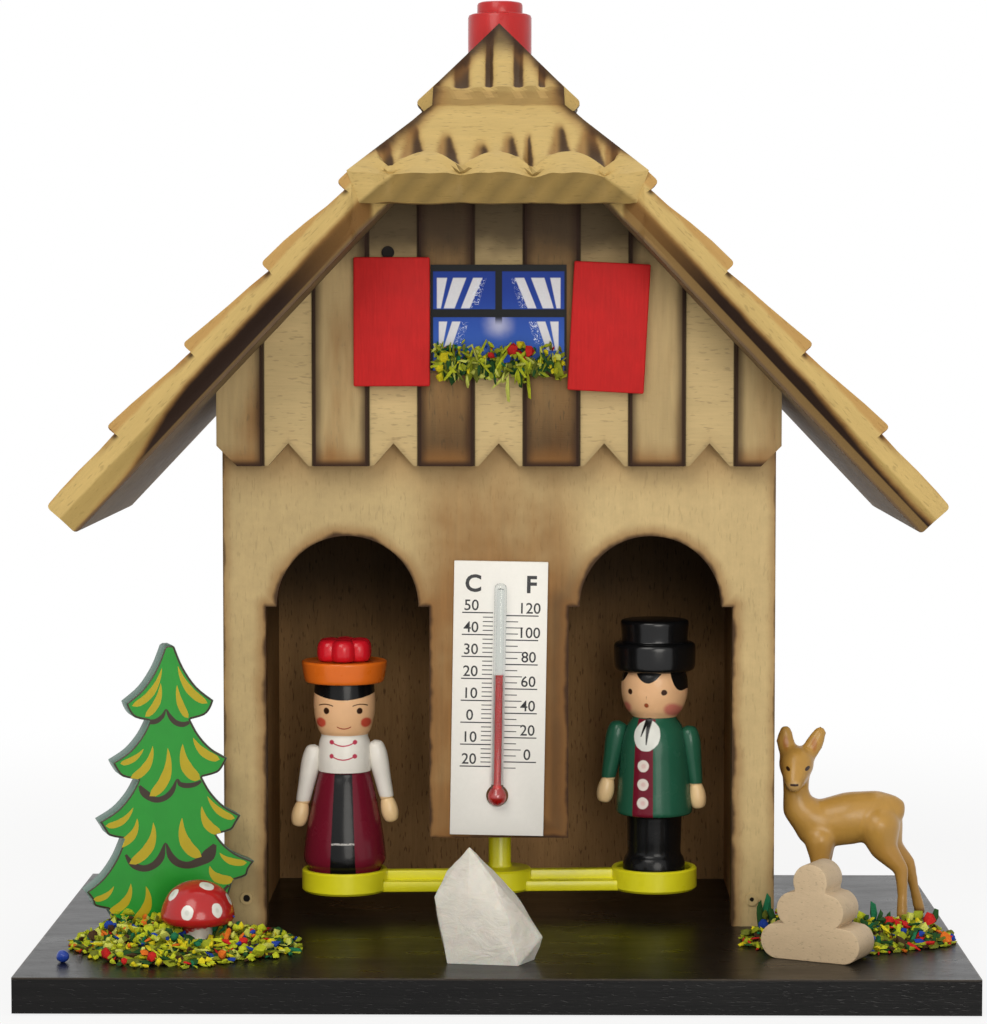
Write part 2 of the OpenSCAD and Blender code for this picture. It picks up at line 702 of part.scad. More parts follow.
module man_hat() color(black) at_man() translate([0, 0, man_hat_z + glue])
    lathe(smooth([[crown_d / 2 - 0.2, 0], [hat_brim_d / 2 - 0.6, 1.4], [hat_brim_d / 2, hat_brim_h - 1.2],
        [hat_brim_d / 2 - 0.7, hat_brim_h - 0.2], [crown_d / 2 - 0.3, hat_brim_h],
        [crown_d / 2, hat_brim_h + crown_h * 0.5], [crown_d / 2 - 0.4, hat_brim_h + crown_h - 0.4],
        [crown_d / 2 - 1, hat_brim_h + crown_h]], 3));

module figure_pegs() color(wood) {
    at_woman() translate([0, 0, arm_z]) cylinder(d = peg_d, h = foot_z + peg_in - arm_z);
    at_man() translate([0, 0, arm_z]) cylinder(d = peg_d, h = foot_z + peg_in - arm_z);
}

// Places the thermometer: the card's lower edge is on the origin, its front at y = 0
module at_card() translate([0, panel_y - card_t - glue, base_t + post_gap + card_up + card_h / 2])
    rotate([0, card_tilt, 0]) translate([0, 0, -card_h / 2]) children();
tube_y = -tube_d / 2 - glue;
module tube_place() at_card() translate([0, tube_y, bulb_z]) children();

module thermometer_card() color([0.89, 0.87, 0.83]) difference() {
    at_card() translate([-card_w / 2, 0, 0]) cube([card_w, card_t, card_h]);
    tube_place() sphere(d = bulb_d + 2 * air);
}
module thermometer_tube() color([0.9, 0.92, 0.92]) tube_place() difference() {
    union() {
        sphere(d = bulb_d);
        cylinder(d = tube_d, h = tube_h);
        translate([0, 0, tube_h]) sphere(d = tube_d);
    }
    sphere(d = bulb_d - 2 * bulb_wall);
    cylinder(d = tube_bore, h = tube_h);
}
module thermometer_spirit() color(red) tube_place() union() {
    sphere(d = bulb_d - 2 * bulb_wall - 2 * glue);
    cylinder(d = tube_bore - 2 * glue, h = bulb_d / 2 + spirit_h);
}

window_base = base_t + gable_z + window_z;
module window_card() color([0.2, 0.32, 0.66]) translate([-window_w / 2, window_y, window_base])
    cube([window_w, window_t, window_h]);

module shutter(side, tilt) {
    mid = window_w / 2 + shutter_w / 2 + shutter_h / 2 * sin(tilt) + glue * 5;
    translate([side * mid, gable_y - shutter_t, window_base - shutter_drop + shutter_h / 2])
        rotate([0, tilt, 0]) translate([-shutter_w / 2, 0, -shutter_h / 2])
            cube([shutter_w, shutter_t, shutter_h]);
}
module left_shutter() color(red) shutter(-1, 0);
module right_shutter() color(red) shutter(1, shutter_tilt);

module window_flowers() color([0.5, 0.6, 0.15]) {
    span = window_w - 2 * flower_r;
    upright(window_y - flower_t, flower_t - glue)
        for (i = [0 : flower_n - 1]) translate([(i / (flower_n - 1) - 0.5) * span,
            window_base + flower_r * (i % 3 - 1) * 0.42 + 0.6]) circle(flower_r);
}

// Fir tree outline: tiers that flare to drooping tips, with scooped undersides and drawn-in waists
tier_n = 4;
tier_step = tree_h * 0.2;
tier_top = tree_h * 0.805;
top_x = tree_top_w * 0.07;
function tip_x(i) = (tree_top_w + (tree_w - tree_top_w) * i / (tier_n - 1)) / 2;
function tip_h(i, side) = tier_top - i * tier_step + (i == tier_n - 1 ? side * tree_skew / 2 : 0);
function waist_x(i) = i < 0 ? top_x : tip_x(i) * (0.47 + 0.09 * i);
function waist_h(i, side) = i < 0 ? tree_h : tip_h(i, side) - tier_step * 0.32;
function tier(i, side) = let (w = waist_x(i - 1), wh = waist_h(i - 1, side),
    t = tip_x(i), th = tip_h(i, side)) [
    [w, wh], [w + 0.25 * (t - w), wh - 0.36 * (wh - th)], [w + 0.6 * (t - w), wh - 0.74 * (wh - th)], [t, th],
    [0.92 * t, th - 0.13 * tier_step], [(t + waist_x(i)) / 2, th - 0.26 * tier_step]];
function tree_side(side) = [for (i = [0 : tier_n - 1], q = tier(i, side)) q];
foot_w = tree_w * 0.42;
function back_wards(p) = [for (i = [len(p) - 1 : -1 : 0]) p[i]];
module tree_outline() polygon(concat(tree_side(1), [[waist_x(tier_n - 1), waist_h(tier_n - 1, 1)],
    [foot_w / 2, 0], [-foot_w / 2, 0], [-waist_x(tier_n - 1), waist_h(tier_n - 1, -1)]],
    [for (q = back_wards(tree_side(-1))) [-q[0], q[1]]]));
module at_tree() translate([tree_x, tree_y, base_t]) rotate([0, 0, tree_turn]) children();
module fir_tree() color([0.18, 0.6, 0.26]) at_tree() upright(-tree_t / 2, tree_t) tree_outline();

module toadstool_stem() color([0.9, 0.88, 0.84]) translate([toad_x, toad_y, base_t])
    cylinder(d = toad_stem_d, h = toad_stem_h);
module toadstool_cap() color(red) translate([toad_x, toad_y, base_t + toad_stem_h + glue])
    lathe(smooth([[toad_d / 2 - 1.2, 0], [toad_d / 2, 1.3], [toad_d / 2 * 0.93, toad_cap_h * 0.45],
        [toad_d / 2 * 0.68, toad_cap_h * 0.8], [toad_d / 2 * 0.3, toad_cap_h * 0.97], [0.2, toad_cap_h]], 3));

module left_moss() color([0.55, 0.62, 0.18]) difference() {
    translate([tree_x, tree_y, base_t]) union() {
        heap(tree_fore - air, moss_h);
        translate([moss_r * 0.76, -moss_r * 0.85, 0]) heap(moss_r * 0.86, moss_h * 0.95);
        translate([moss_r * 0.16, -moss_r * 1.12, 0]) heap(moss_r, moss_h);
        translate([-moss_r * 0.18, -moss_r * 0.55, 0]) heap(moss_r * 0.8, moss_h * 0.8);
    }
    translate([-panel_w / 2 - air, panel_y - air, 0]) cube([panel_w, panel_t, tree_h]);
    at_tree() translate([-waist_x(tier_n - 1) - air, -tree_t / 2 - air, -1])
        cube([2 * (waist_x(tier_n - 1) + air), tree_t + 2 * air, tree_h]);
    translate([toad_x, toad_y, 0]) cylinder(d = toad_stem_d + 2 * air, h = tree_h);
}

module bead() color([0.16, 0.28, 0.6])
    translate([tree_x - moss_r * 1.08, tree_y - moss_r * 1.74, base_t]) intersection() {
    translate([0, 0, bead_d * 0.46]) sphere(d = bead_d);
    cylinder(d = 2 * bead_d, h = 2 * bead_d);
}

// A limb of the fawn: a rounded taper from ball a to ball b, each given as [x, y, z, r]
module taper(list) hull() for (b = list) translate([b[0], b[1], b[2]]) sphere(b[3], $fn = 20);
module at_fawn() translate([fawn_x, fawn_y, base_t]) scale(fawn_h / 40.4) children();
fawn_legs = [[[-7.4, -2.2, 16.4, 3.2], [-7.4, -2.7, 8.4, 1.5], [-7, -3, 0.9, 1.2]],
    [[-6.6, 2.2, 16.4, 3.2], [-6, 2.9, 8.4, 1.5], [-5.4, 3.3, 0.9, 1.2]],
    [[6, -2.2, 19, 4.2], [9.8, -3, 10.6, 1.6], [9.6, -4, 0.9, 1.2]],
    [[7, 2.2, 19, 4.2], [12.2, 3, 11, 1.6], [14.6, 4.6, 0.9, 1.2]]];
module fawn_shape() intersection() {
    union() {
        taper([[-7.6, 0, 19, 5.2], [-1.6, 0, 20.3, 5.4], [6, 0, 20.8, 5]]);
        taper([[-9.4, 0, 21.4, 4], [-12, -0.8, 30, 2.7]]);
        taper([[-12, -0.8, 32.6, 3.7], [-12.5, -4.4, 28.4, 1.9]]);
        taper([[-13.8, -0.2, 34.4, 1.3], [-14.4, 0, 37, 1.6], [-14.5, 0.1, 39.4, 1]]);
        taper([[-10.2, -0.2, 34.2, 1.3], [-8.6, 0, 36.8, 1.6], [-7.6, 0.1, 39.2, 1]]);
        for (leg = fawn_legs) {
            taper([leg[0], leg[1]]);
            taper([leg[1], leg[2]]);
        }
        taper([[9.6, 0, 23, 1.8], [10.8, 0, 20, 1.1]]);
    }
    translate([-40, -40, 0]) cube(80);
}
module fawn() color([0.75, 0.53, 0.26]) at_fawn() fawn_shape();

module right_moss() color([0.55, 0.62, 0.18]) difference() {
    translate([moss_x, moss_y, base_t]) union() {
        translate([-moss_side_r * 0.76, -moss_side_r * 0.32, 0]) heap(moss_side_r, moss_h);
        translate([moss_side_r * 0.2, -moss_side_r * 0.4, 0]) heap(moss_side_r, moss_h * 0.9);
        translate([moss_side_r, -moss_side_r * 0.1, 0]) heap(moss_side_r * 0.8, moss_h * 0.8);
    }
    at_bush() translate([-bush_w / 2 - air, -bush_t / 2 - air, -1])
        cube([bush_w + 2 * air, bush_t + 2 * air, bush_tall]);
}

// Bush block: three stacked rounds on a broad foot
bush_r = bush_tall * 0.185;
module at_bush() translate([bush_x, bush_y, base_t]) rotate([0, 0, bush_turn]) children();
module bush_block() color([0.8, 0.7, 0.58]) at_bush() upright(-bush_t / 2, bush_t) {
    for (s = [-1, 1]) {
        translate([s * (bush_w / 2 - bush_r), bush_r]) circle(bush_r);
        translate([s * bush_r, bush_tall * 0.52]) circle(bush_r);
    }
    translate([-bush_w / 2 + bush_r, 0]) square([bush_w - 2 * bush_r, 2 * bush_r]);
    translate([-bush_r, bush_r]) square([2 * bush_r, bush_tall * 0.6]);
    translate([0, bush_tall - bush_r]) circle(bush_r);
}

// Quartz stone: a broken lump between flat faces, in parts of its height
stone_points = [[-0.38, -0.2, 0], [0.28, -0.26, 0], [0.42, 0.02, 0], [0.2, 0.27, 0], [-0.3, 0.25, 0],
    [-0.45, 0.02, 0.3], [-0.4, -0.2, 0.5], [0.36, -0.22, 0.2], [0.45, 0.05, 0.14], [0.26, 0.14, 0.52],
    [0.02, -0.2, 0.72], [-0.16, -0.1, 1], [-0.26, -0.06, 0.94], [-0.12, 0.1, 0.92], [-0.36, 0.14, 0.6],
    [0.2, -0.14, 0.56]];
module quartz_stone() color([0.85, 0.84, 0.81]) translate([-stone_left, panel_y - stone_fore, base_t]) hull()
    for (p = stone_points) translate(p * (stone_h - 0.2)) cube([0.2, 0.2, 0.2]);

module panel_pins() color(black) {
    panel_pin_places() pin(pin_l - glue);
    gable_pin_place() pin(gable_pin_l - glue);
}
module back_pins() color(steel) back_pin_places() pin(pin_l - glue);

module base_screws() color(steel) screw_places() {
    cylinder(d1 = screw_head_d, d2 = screw_d, h = (screw_head_d - screw_d) / 2);
    cylinder(d = screw_d, h = screw_l);
}

base_board();
front_panel();
gable_panel();
left_wall();
right_wall();
back_panel();
left_roof();
right_roof();
roof_hip();
ridge_block();
spindle_bush();
chimney_knob();
knob_spindle();
knob_collar();
gut_string();
gut_wedge();
balance_arm();
woman_body();
woman_brim();
woman_pompoms();
woman_left_arm();
woman_right_arm();
man_body();
man_hat();
man_left_arm();
man_right_arm();
figure_pegs();
thermometer_card();
thermometer_tube();
thermometer_spirit();
window_card();
left_shutter();
right_shutter();
window_flowers();
fir_tree();
toadstool_cap();
toadstool_stem();
left_moss();
right_moss();
bead();
fawn();
bush_block();
quartz_stone();
panel_pins();
base_screws();
back_pins();
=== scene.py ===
"""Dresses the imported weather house: carved and scorched wood, painted figures, the yard and the stage."""

import math
import random
from functools import partial, reduce
from types import SimpleNamespace

import bmesh
import bpy
from bpy.props import FloatProperty, FloatVectorProperty, IntProperty, PointerProperty
from mathutils import Color, Euler, Matrix, Vector, geometry, noise


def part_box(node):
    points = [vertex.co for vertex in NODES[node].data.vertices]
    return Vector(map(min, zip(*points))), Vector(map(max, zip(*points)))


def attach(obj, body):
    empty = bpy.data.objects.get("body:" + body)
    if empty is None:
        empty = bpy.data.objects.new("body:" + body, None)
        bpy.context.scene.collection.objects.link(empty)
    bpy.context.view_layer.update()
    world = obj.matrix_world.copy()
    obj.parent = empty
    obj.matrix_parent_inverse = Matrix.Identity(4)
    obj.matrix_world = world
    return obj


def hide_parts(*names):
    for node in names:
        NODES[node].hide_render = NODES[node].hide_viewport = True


bl_info = {
    "name": "Weather house",
    "version": (1, 0, 0),
    "blender": (4, 5, 0),
    "location": "View3D > Sidebar > Weather house",
    "description": "Makes the visible pieces of a wooden weather house on its packed frame",
    "category": "Add Mesh",
}

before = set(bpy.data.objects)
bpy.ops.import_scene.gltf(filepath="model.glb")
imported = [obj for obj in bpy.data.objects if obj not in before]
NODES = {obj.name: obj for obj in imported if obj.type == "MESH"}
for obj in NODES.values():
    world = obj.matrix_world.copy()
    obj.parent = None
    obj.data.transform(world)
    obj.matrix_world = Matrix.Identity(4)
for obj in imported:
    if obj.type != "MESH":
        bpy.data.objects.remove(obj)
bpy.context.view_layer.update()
# Millimetres in a metre, and the height of the base board's top.
PER_M = 1000
GROUND = 7.0


def rgb(r, g, b):
    """Screen values from 0 to 255 as the linear values that shaders take."""
    return tuple(c / 3294.6 if c <= 10 else ((c / 255 + 0.055) / 1.055) ** 2.4 for c in (r, g, b))


def box_mm(node):
    """Lowest and highest corner of a CAD node, in millimetres."""
    low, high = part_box(node)
    return Vector(low) * PER_M, Vector(high) * PER_M


def middle_mm(node):
    """Middle of a CAD node's box, in millimetres."""
    low, high = box_mm(node)
    return (low + high) / 2


def put(at, degrees=0.0, axis="Z"):
    """Places a piece at a point in millimetres, turned about one axis."""
    return Matrix.Translation(at) @ Matrix.Rotation(math.radians(degrees), 4, axis)


def along(axis, times):
    """A stretch along one axis."""
    return tuple(times if a == axis else 1 for a in "XYZ")


def tint(name, description, default):
    return FloatVectorProperty(name=name, description=description, default=default, subtype="COLOR",
                               size=3, min=0.0, max=1.0)


def length(name, description, millimetres):
    return FloatProperty(name=name, description=description, default=millimetres / PER_M, unit="LENGTH",
                         min=0.0, precision=5)


def tally(name, description, default):
    return IntProperty(name=name, description=description, default=default, min=1)


class HouseColours(bpy.types.PropertyGroup):
    """Colours of the woods, paints and plastics"""

    pale_wood: tint("Pale wood", "Bare plywood of the front panel", rgb(196, 172, 124))
    roof_wood: tint("Roof wood", "Bare carved wood of the roof", rgb(200, 172, 110))
    board_stain: tint("Board stain", "Brown stain on the proud gable boards", rgb(134, 92, 48))
    scorch: tint("Scorch", "Burnt edges of the wood", rgb(44, 25, 13))
    room_stain: tint("Room stain", "Dark stain on the walls and the back", rgb(164, 126, 82))
    base_stain: tint("Base stain", "Black stain of the base board", rgb(12, 11, 11))
    red_paint: tint("Red paint", "Shutters and chimney", rgb(186, 36, 36))
    yellow_plastic: tint("Yellow plastic", "Moulded balance arm", rgb(232, 226, 34))
    skin: tint("Skin", "Faces", rgb(236, 188, 142))
    hands: tint("Hands", "Hands, paler than the faces", rgb(244, 210, 158))
    maroon: tint("Maroon", "Skirt and waistcoat", rgb(112, 24, 42))
    white_cloth: tint("White cloth", "Bodice and sleeves", rgb(236, 232, 224))
    green_cloth: tint("Green cloth", "Jacket", rgb(38, 92, 70))
    black_paint: tint("Black paint", "Hat, apron, hair, trousers", rgb(16, 16, 17))
    orange_paint: tint("Orange paint", "Brim of the woman's hat", rgb(230, 112, 30))
    tree_green: tint("Tree green", "Fir tree", rgb(34, 146, 46))
    tree_yellow: tint("Tree yellow", "Brush strokes on the fir tree", rgb(184, 164, 22))
    fawn_tan: tint("Fawn tan", "Moulded fawn", rgb(188, 144, 70))
    block_wood: tint("Block wood", "Bare bush block", rgb(204, 180, 146))
    quartz: tint("Quartz", "Rough stone", rgb(216, 212, 202))


class HouseSizes(bpy.types.PropertyGroup):
    """Sizes of the hand-worked detail"""

    carve_wave: length("Carving unevenness", "How far the knife wanders on the roof", 0.35)
    lip_round: length("Lip rounding", "Rounding of the roof courses", 0.9)
    front_bevel: length("Front bevel", "Bevel along the lower half of the roof's front end", 2.4)
    edge_round: length("Edge rounding", "Worn edges of painted wood", 0.35)
    left_crumbs: tally("Left crumbs", "Shreds round the tree", 1250)
    right_crumbs: tally("Right crumbs", "Shreds round the bush", 760)
    sill_crumbs: tally("Sill crumbs", "Shreds and flowers on the sill", 260)


class Field:
    """A number or colour that varies over a surface, held as a node socket."""

    def __init__(self, paint, socket):
        self.paint = paint
        self.socket = socket

    def __add__(self, other):
        return self.paint.math("ADD", self, other)

    def __sub__(self, other):
        return self.paint.math("SUBTRACT", self, other)

    def __rsub__(self, other):
        return self.paint.math("SUBTRACT", other, self)

    def __mul__(self, other):
        return self.paint.math("MULTIPLY", self, other)

    def __truediv__(self, other):
        return self.paint.math("DIVIDE", self, other)

    def __abs__(self):
        return self.paint.math("ABSOLUTE", self)

    __radd__ = __add__
    __rmul__ = __mul__


class Paint:
    """A procedural material. Lengths in it are millimetres of Object coordinates."""

    def __init__(self, name):
        self.material = bpy.data.materials.new(name)
        self.material.use_nodes = True
        self.tree = self.material.node_tree
        self.shader = self.tree.nodes["Principled BSDF"]
        coords = Field(self, self.node("ShaderNodeTexCoord").outputs["Object"])
        self.place = self.made("ShaderNodeVectorMath", {0: coords, "Scale": PER_M}, operation="SCALE")
        self.x, self.y, self.z = self.split(self.place)
        self.colour = None

    def node(self, kind, **settings):
        node = self.tree.nodes.new(kind)
        for key, value in settings.items():
            setattr(node, key, value)
        return node

    def feed(self, socket, value):
        if isinstance(value, Field):
            self.tree.links.new(value.socket, socket)
        elif isinstance(value, (tuple, list)) and len(value) == 3 and socket.type == "RGBA":
            socket.default_value = (*value, 1)
        else:
            socket.default_value = value

    def made(self, kind, inputs, out=0, **settings):
        """One output of a new node that has its inputs fed."""
        node = self.node(kind, **settings)
        for key, value in inputs.items():
            self.feed(node.inputs[key], value)
        return Field(self, node.outputs[out])

    def split(self, place):
        node = self.node("ShaderNodeSeparateXYZ")
        self.feed(node.inputs[0], place)
        return [Field(self, out) for out in node.outputs]

    def local(self, origin, turn=(0, 0, 0)):
        """The place seen from an origin in millimetres, in axes turned by degrees."""
        turn = [math.radians(a) for a in turn]
        return self.made("ShaderNodeMapping", {"Vector": self.place, "Location": origin, "Rotation": turn},
                         vector_type="TEXTURE")

    def join(self, *values):
        """A place from its three coordinates."""
        return self.made("ShaderNodeCombineXYZ", dict(enumerate(values)))

    def math(self, operation, *values):
        return self.made("ShaderNodeMath", dict(enumerate(values)), operation=operation)

    def least(self, *values):
        return reduce(partial(self.math, "MINIMUM"), values)

    def most(self, *values):
        return reduce(partial(self.math, "MAXIMUM"), values)

    def hypot(self, a, b):
        return self.math("SQRT", a * a + b * b)

    def step(self, value, low, high):
        """0 below low and 1 above high, with a soft way between; turned round where low is the higher."""
        return self.made("ShaderNodeMapRange", {"Value": value, "From Min": low, "From Max": high},
                         interpolation_type="SMOOTHSTEP")

    def swing(self, value, period):
        """Distance to the nearest whole multiple of the period."""
        return self.math("PINGPONG", value, period / 2)

    def grain(self, size, stretch, place):
        """The place in parts of a grain's size, longer along the stretched axes."""
        parts = [1 / (size * s) for s in stretch]
        return self.made("ShaderNodeVectorMath", {0: place or self.place, 1: parts}, operation="MULTIPLY")

    def cloud(self, size, stretch=(1, 1, 1), detail=2.0, rough=0.5, twist=0.0, place=None):
        """Soft noise about 0.5, with a grain of the given size."""
        return self.made("ShaderNodeTexNoise", {"Vector": self.grain(size, stretch, place), "Scale": 1,
                                                "Detail": detail, "Roughness": rough, "Distortion": twist})

    def cells(self, size):
        """Distance from the nearest of many scattered points, in parts of the size."""
        return self.made("ShaderNodeTexVoronoi", {"Vector": self.grain(size, (1, 1, 1), None), "Scale": 1},
                         "Distance")

    def facing(self, axis):
        """The surface's own normal along one axis of the object, from -1 to 1."""
        normal = self.made("ShaderNodeNewGeometry", {}, "True Normal")
        return self.split(normal)["XYZ".index(axis)]

    def mix(self, amount, first, second):
        return self.made("ShaderNodeMix", {0: amount, 6: first, 7: second}, 2, data_type="RGBA")

    def shade(self, colour, amount, low, high):
        """The colour made darker or lighter by an amount from 0 to 1."""
        level = self.made("ShaderNodeMapRange", {"Value": amount, "To Min": low, "To Max": high})
        return self.made("ShaderNodeVectorMath", {0: colour, "Scale": level}, operation="SCALE")

    def coat(self, amount, colour):
        """Covers the paint's own colour with another, as far as an amount says."""
        self.colour = self.mix(amount, self.colour, colour)

    def tone(self, amount, low, high):
        """Makes the paint's own colour darker or lighter."""
        self.colour = self.shade(self.colour, amount, low, high)

    def finish(self, colour, rough, height=None, bump=0.1, **sockets):
        """Sets the shader; bump is the depth of the height in millimetres."""
        self.feed(self.shader.inputs["Base Color"], colour)
        self.feed(self.shader.inputs["Roughness"], rough)
        if height is not None:
            depth = {"Strength": 1, "Distance": bump / PER_M, "Height": height}
            self.feed(self.shader.inputs["Normal"], self.made("ShaderNodeBump", depth))
        for key, value in sockets.items():
            self.feed(self.shader.inputs[key.replace("_", " ")], value)
        return self.material


# The roof: its pitch, its depth at a lip and between lips, and how the courses lie down the slope.
PITCH = math.radians(46.5)
COS, SIN = math.cos(PITCH), math.sin(PITCH)
FULL, ROOF_T = 10.2, 8.0
FIRST_LIP, COURSE, LIPS, TAIL = 13.4, 22.2, 5, 122.2
RIDGE = box_mm("right_roof")[1].z - FULL / COS + 0.03
ROOF_FRONT, ROOF_BACK = box_mm("right_roof")[0].y, box_mm("right_roof")[1].y
# The half-hip: the cap's lip and foot, valleys by X and half width, flames by X, head and half width.
HIP_Y = box_mm("roof_hip")[1].y
CAP_LIP, CAP_FOOT = 8.4, 11.2
CAP_VALLEYS = ((-12.6, 0.9), (-7.5, 1.9), (-1.9, 1.0), (4.0, 1.2), (8.8, 0.85), (13.2, 1.2))
HIP_FLAMES = ((-22.4, 21.0, 1.6), (-17.0, 15.6, 1.5), (-10.3, 18.2, 1.7), (-3.3, 20.4, 1.7), (2.3, 18.4, 1.4),
              (6.0, 18.6, 0.5), (12.3, 15.6, 1.5), (18.0, 16.8, 2.0), (22.6, 20.0, 1.2))
SCALLOP, SCALLOP_AT, ARC_TOP, ARC_RISE = 14.2, -0.2, 25.2, 4.6
# The front panel with its doorways, and the boards and notches of the gable.
DOOR_X, DOOR_HALF, DOOR_TOP, ARCH_R, POST_Z = 31.35, 16.95, 73.6, 14.7, 25.5
PANEL_HALF = 57.1
STRIP, STRIP_HALF, NOTCH_HALF, NOTCH_H = 21.6, 5.3, 4.15, 4.7
# Where the roof's solids are divided, so that carving can move their points.
SLOPE_CUTS = (1.1, 2.3, 3.3, 4.2, 5.2)
HIP_CUTS = (-7, -3, 1, 4.5, 7.2, 9, 10.2, 12.5, 14.5, 16.5, 18.5, 20.5, 22.5, 24.5, 25.5, 26.5, 28, 29.5,
            31, 32, 33.5)
CARVE_SEED, LEFT_SEED, RIGHT_SEED, SILL_SEED = 3, 11, 23, 7


def chosen(group):
    """The values of a property group, with colours as the tuples that shaders take."""
    values = ((key, getattr(group, key)) for key in group.__annotations__)
    return SimpleNamespace(**{key: tuple(v) if isinstance(v, Color) else v for key, v in values})


def colours():
    return chosen(bpy.context.scene.house_colours)


def sizes():
    return chosen(bpy.context.scene.house_sizes)


def fibres(p, axis, place, broad, fine=0.32):
    """Figure of sawn wood with its fibres along one axis: broad bands, fine lines and short dark pores."""
    bands = p.cloud(broad, along(axis, 10), 3, 0.55, 0.8, place)
    lines = p.cloud(fine, along(axis, 16), 2, 0.6, 0, place)
    pores = p.step(p.cloud(0.42, along(axis, 5), 1, 0.5, 0, place), 0.6, 0.74)
    return bands, lines, pores


def sawn(p, colour, axis, depth, broad=5.0, place=None):
    """Sawn wood of one colour, and its surface height."""
    bands, lines, pores = fibres(p, axis, place, broad)
    colour = p.shade(colour, bands, 1 - depth * 1.3, 1 + depth)
    colour = p.shade(colour, lines, 1 - depth * 0.8, 1 + depth * 0.7)
    return p.shade(colour, pores, 1, 1 - depth * 1.7), lines * 0.6 - pores * 0.5


def scorch(p, distance, wide, core, strength):
    """Burns brown within a wide distance of an edge and almost black within a narrow one."""
    c = colours()
    ragged = distance + (p.cloud(7, detail=3.0) - 0.5) * wide * 0.7
    p.coat(p.step(ragged, wide, 0) * strength * 0.8, c.board_stain)
    p.coat(p.step(ragged, core * 1.8, 0) * strength, c.scorch)


def front_panel_wood():
    p, c = Paint("Front panel wood"), colours()
    p.colour, height = sawn(p, c.pale_wood, "Z", depth=0.07, broad=7.0)
    blotch = p.cloud(16, detail=3)
    p.tone(blotch, 0.84, 1.12)
    p.tone(p.cloud(2.2, detail=4, rough=0.7), 0.85, 1.12)
    p.tone(p.step(p.x, -50, 50), 0.92, 1.08)
    side = abs(p.x)
    over = p.z - DOOR_TOP
    across = abs(side - DOOR_X)
    to_box = p.hypot(p.most(across - DOOR_HALF, 0), p.most(over, 0))
    to_arch = p.most(p.hypot(side - DOOR_X, over) - ARCH_R, 0)
    to_post = p.most(p.z - POST_Z, 0) + p.most(side - DOOR_X, 0)
    opening = p.least(to_box, to_arch, to_post)
    brown = p.shade(c.board_stain, p.cloud(1.1, (1, 1, 14), 4), 0.62, 1.3)
    inner = p.step(side, 21, 10)
    wash = inner * p.step(p.z + p.cloud(4, (1, 1, 3)) * 16, 122, 92) * p.step(blotch, 0.2, 0.62)
    p.coat(wash * 0.8, brown)
    post = inner * p.step(over, 16, 2)
    right = p.step(p.x, -6, 6)
    p.coat(post * (right * 0.25 + 0.55), brown)
    p.coat(post * right * p.step(opening, 6.5, 0.4) * 0.85, c.scorch)
    # Top band under the gable: partly burnt stain, partly painted shade of the gable and roof above it.
    p.coat(p.step(p.z, 94, 108) * 0.55, p.shade(c.board_stain, blotch, 0.7, 1.3))
    scorch(p, opening, 3.4, 0.55, 0.9)
    scorch(p, PANEL_HALF - side, 2.4, 0.3, 0.7)
    return p.finish(p.colour, p.step(height, -0.4, 0.6) * -0.1 + 0.62, height, 0.04, Specular_IOR_Level=0.15)


def gable_wood():
    p, c = Paint("Gable wood"), colours()
    low = box_mm("gable_panel")[0]
    off = p.swing(p.x, STRIP)
    light, height = sawn(p, c.pale_wood, "X", depth=0.13, broad=6.0)
    brown, _ = sawn(p, c.board_stain, "Z", depth=0.3, broad=3.0)
    tan = p.shade(c.pale_wood, p.cloud(1, (1, 1, 12), 3), 0.66, 1.0)
    deep = p.step(abs(p.x), 20, 15)
    aged = p.step(p.cloud(9, (1, 1, 4), 3) + p.step(p.z, low.z + 22, low.z + 52) * 0.5, 0.22, 0.6)
    brown = p.mix(aged * (0.9 - deep * 0.66), p.shade(brown, deep, 1, 0.68), tan)
    proud = p.step(off, STRIP_HALF - 0.05, STRIP_HALF + 0.05)
    p.colour = p.mix(proud, light, brown)
    p.coat(proud * deep * p.step(p.z, low.z + 17, low.z + 2) * 0.6, c.scorch)
    # Painted shade: the gable's top under the half-hip is darkened to a black brown.
    p.coat(p.step(p.z + (p.cloud(6) - 0.5) * 5, low.z + 39, low.z + 48) * 0.87, rgb(54, 42, 30))
    edge = p.z - low.z - p.most(1 - off / NOTCH_HALF, 0) * NOTCH_H
    p.coat(p.step(edge + (p.cloud(5) - 0.5) * 2, 5.5, 0) * (proud * 0.75 + 0.1), c.board_stain)
    p.coat(p.step(edge, 1.7, 0.2) * (proud * 0.75 + 0.2), c.scorch)
    to_seam = abs(off - STRIP_HALF)
    soft = p.step(to_seam + (p.cloud(4, (1, 1, 3)) - 0.5) * 0.9, 2.4, 0.2) * proud
    p.coat(soft * 0.8, c.scorch)
    p.coat(p.step(to_seam, 0.62, 0.3) * 0.95, c.scorch)
    return p.finish(p.colour, 0.6, height, 0.04, Specular_IOR_Level=0.15)


def room_wood():
    p, c = Paint("Dark stained wood"), colours()
    p.colour, height = sawn(p, c.room_stain, "Z", depth=0.3, broad=6.0)
    p.tone(p.cloud(22, detail=3), 0.75, 1.25)
    deep, wide = box_mm("back_panel")[0].y, box_mm("right_wall")[0].x
    inside = p.step(p.y, deep + 0.3, deep + 0.1) * p.step(abs(p.x), wide + 0.3, wide + 0.1)
    # Painted shade: the upper part of the room, inside the walls, is darkened almost to black.
    p.tone(p.step(p.z, 50, 78) * inside, 1, 0.14)
    return p.finish(p.colour, p.cloud(3, detail=2) * 0.2 + 0.55, height, 0.06, Specular_IOR_Level=0.1)


def plain_wood(name, colour, axis, depth=0.16):
    p = Paint(name)
    colour, height = sawn(p, colour, axis, depth=depth, broad=4.0)
    return p.finish(colour, p.cloud(2.5, detail=2) * 0.16 + 0.46, height, 0.05)


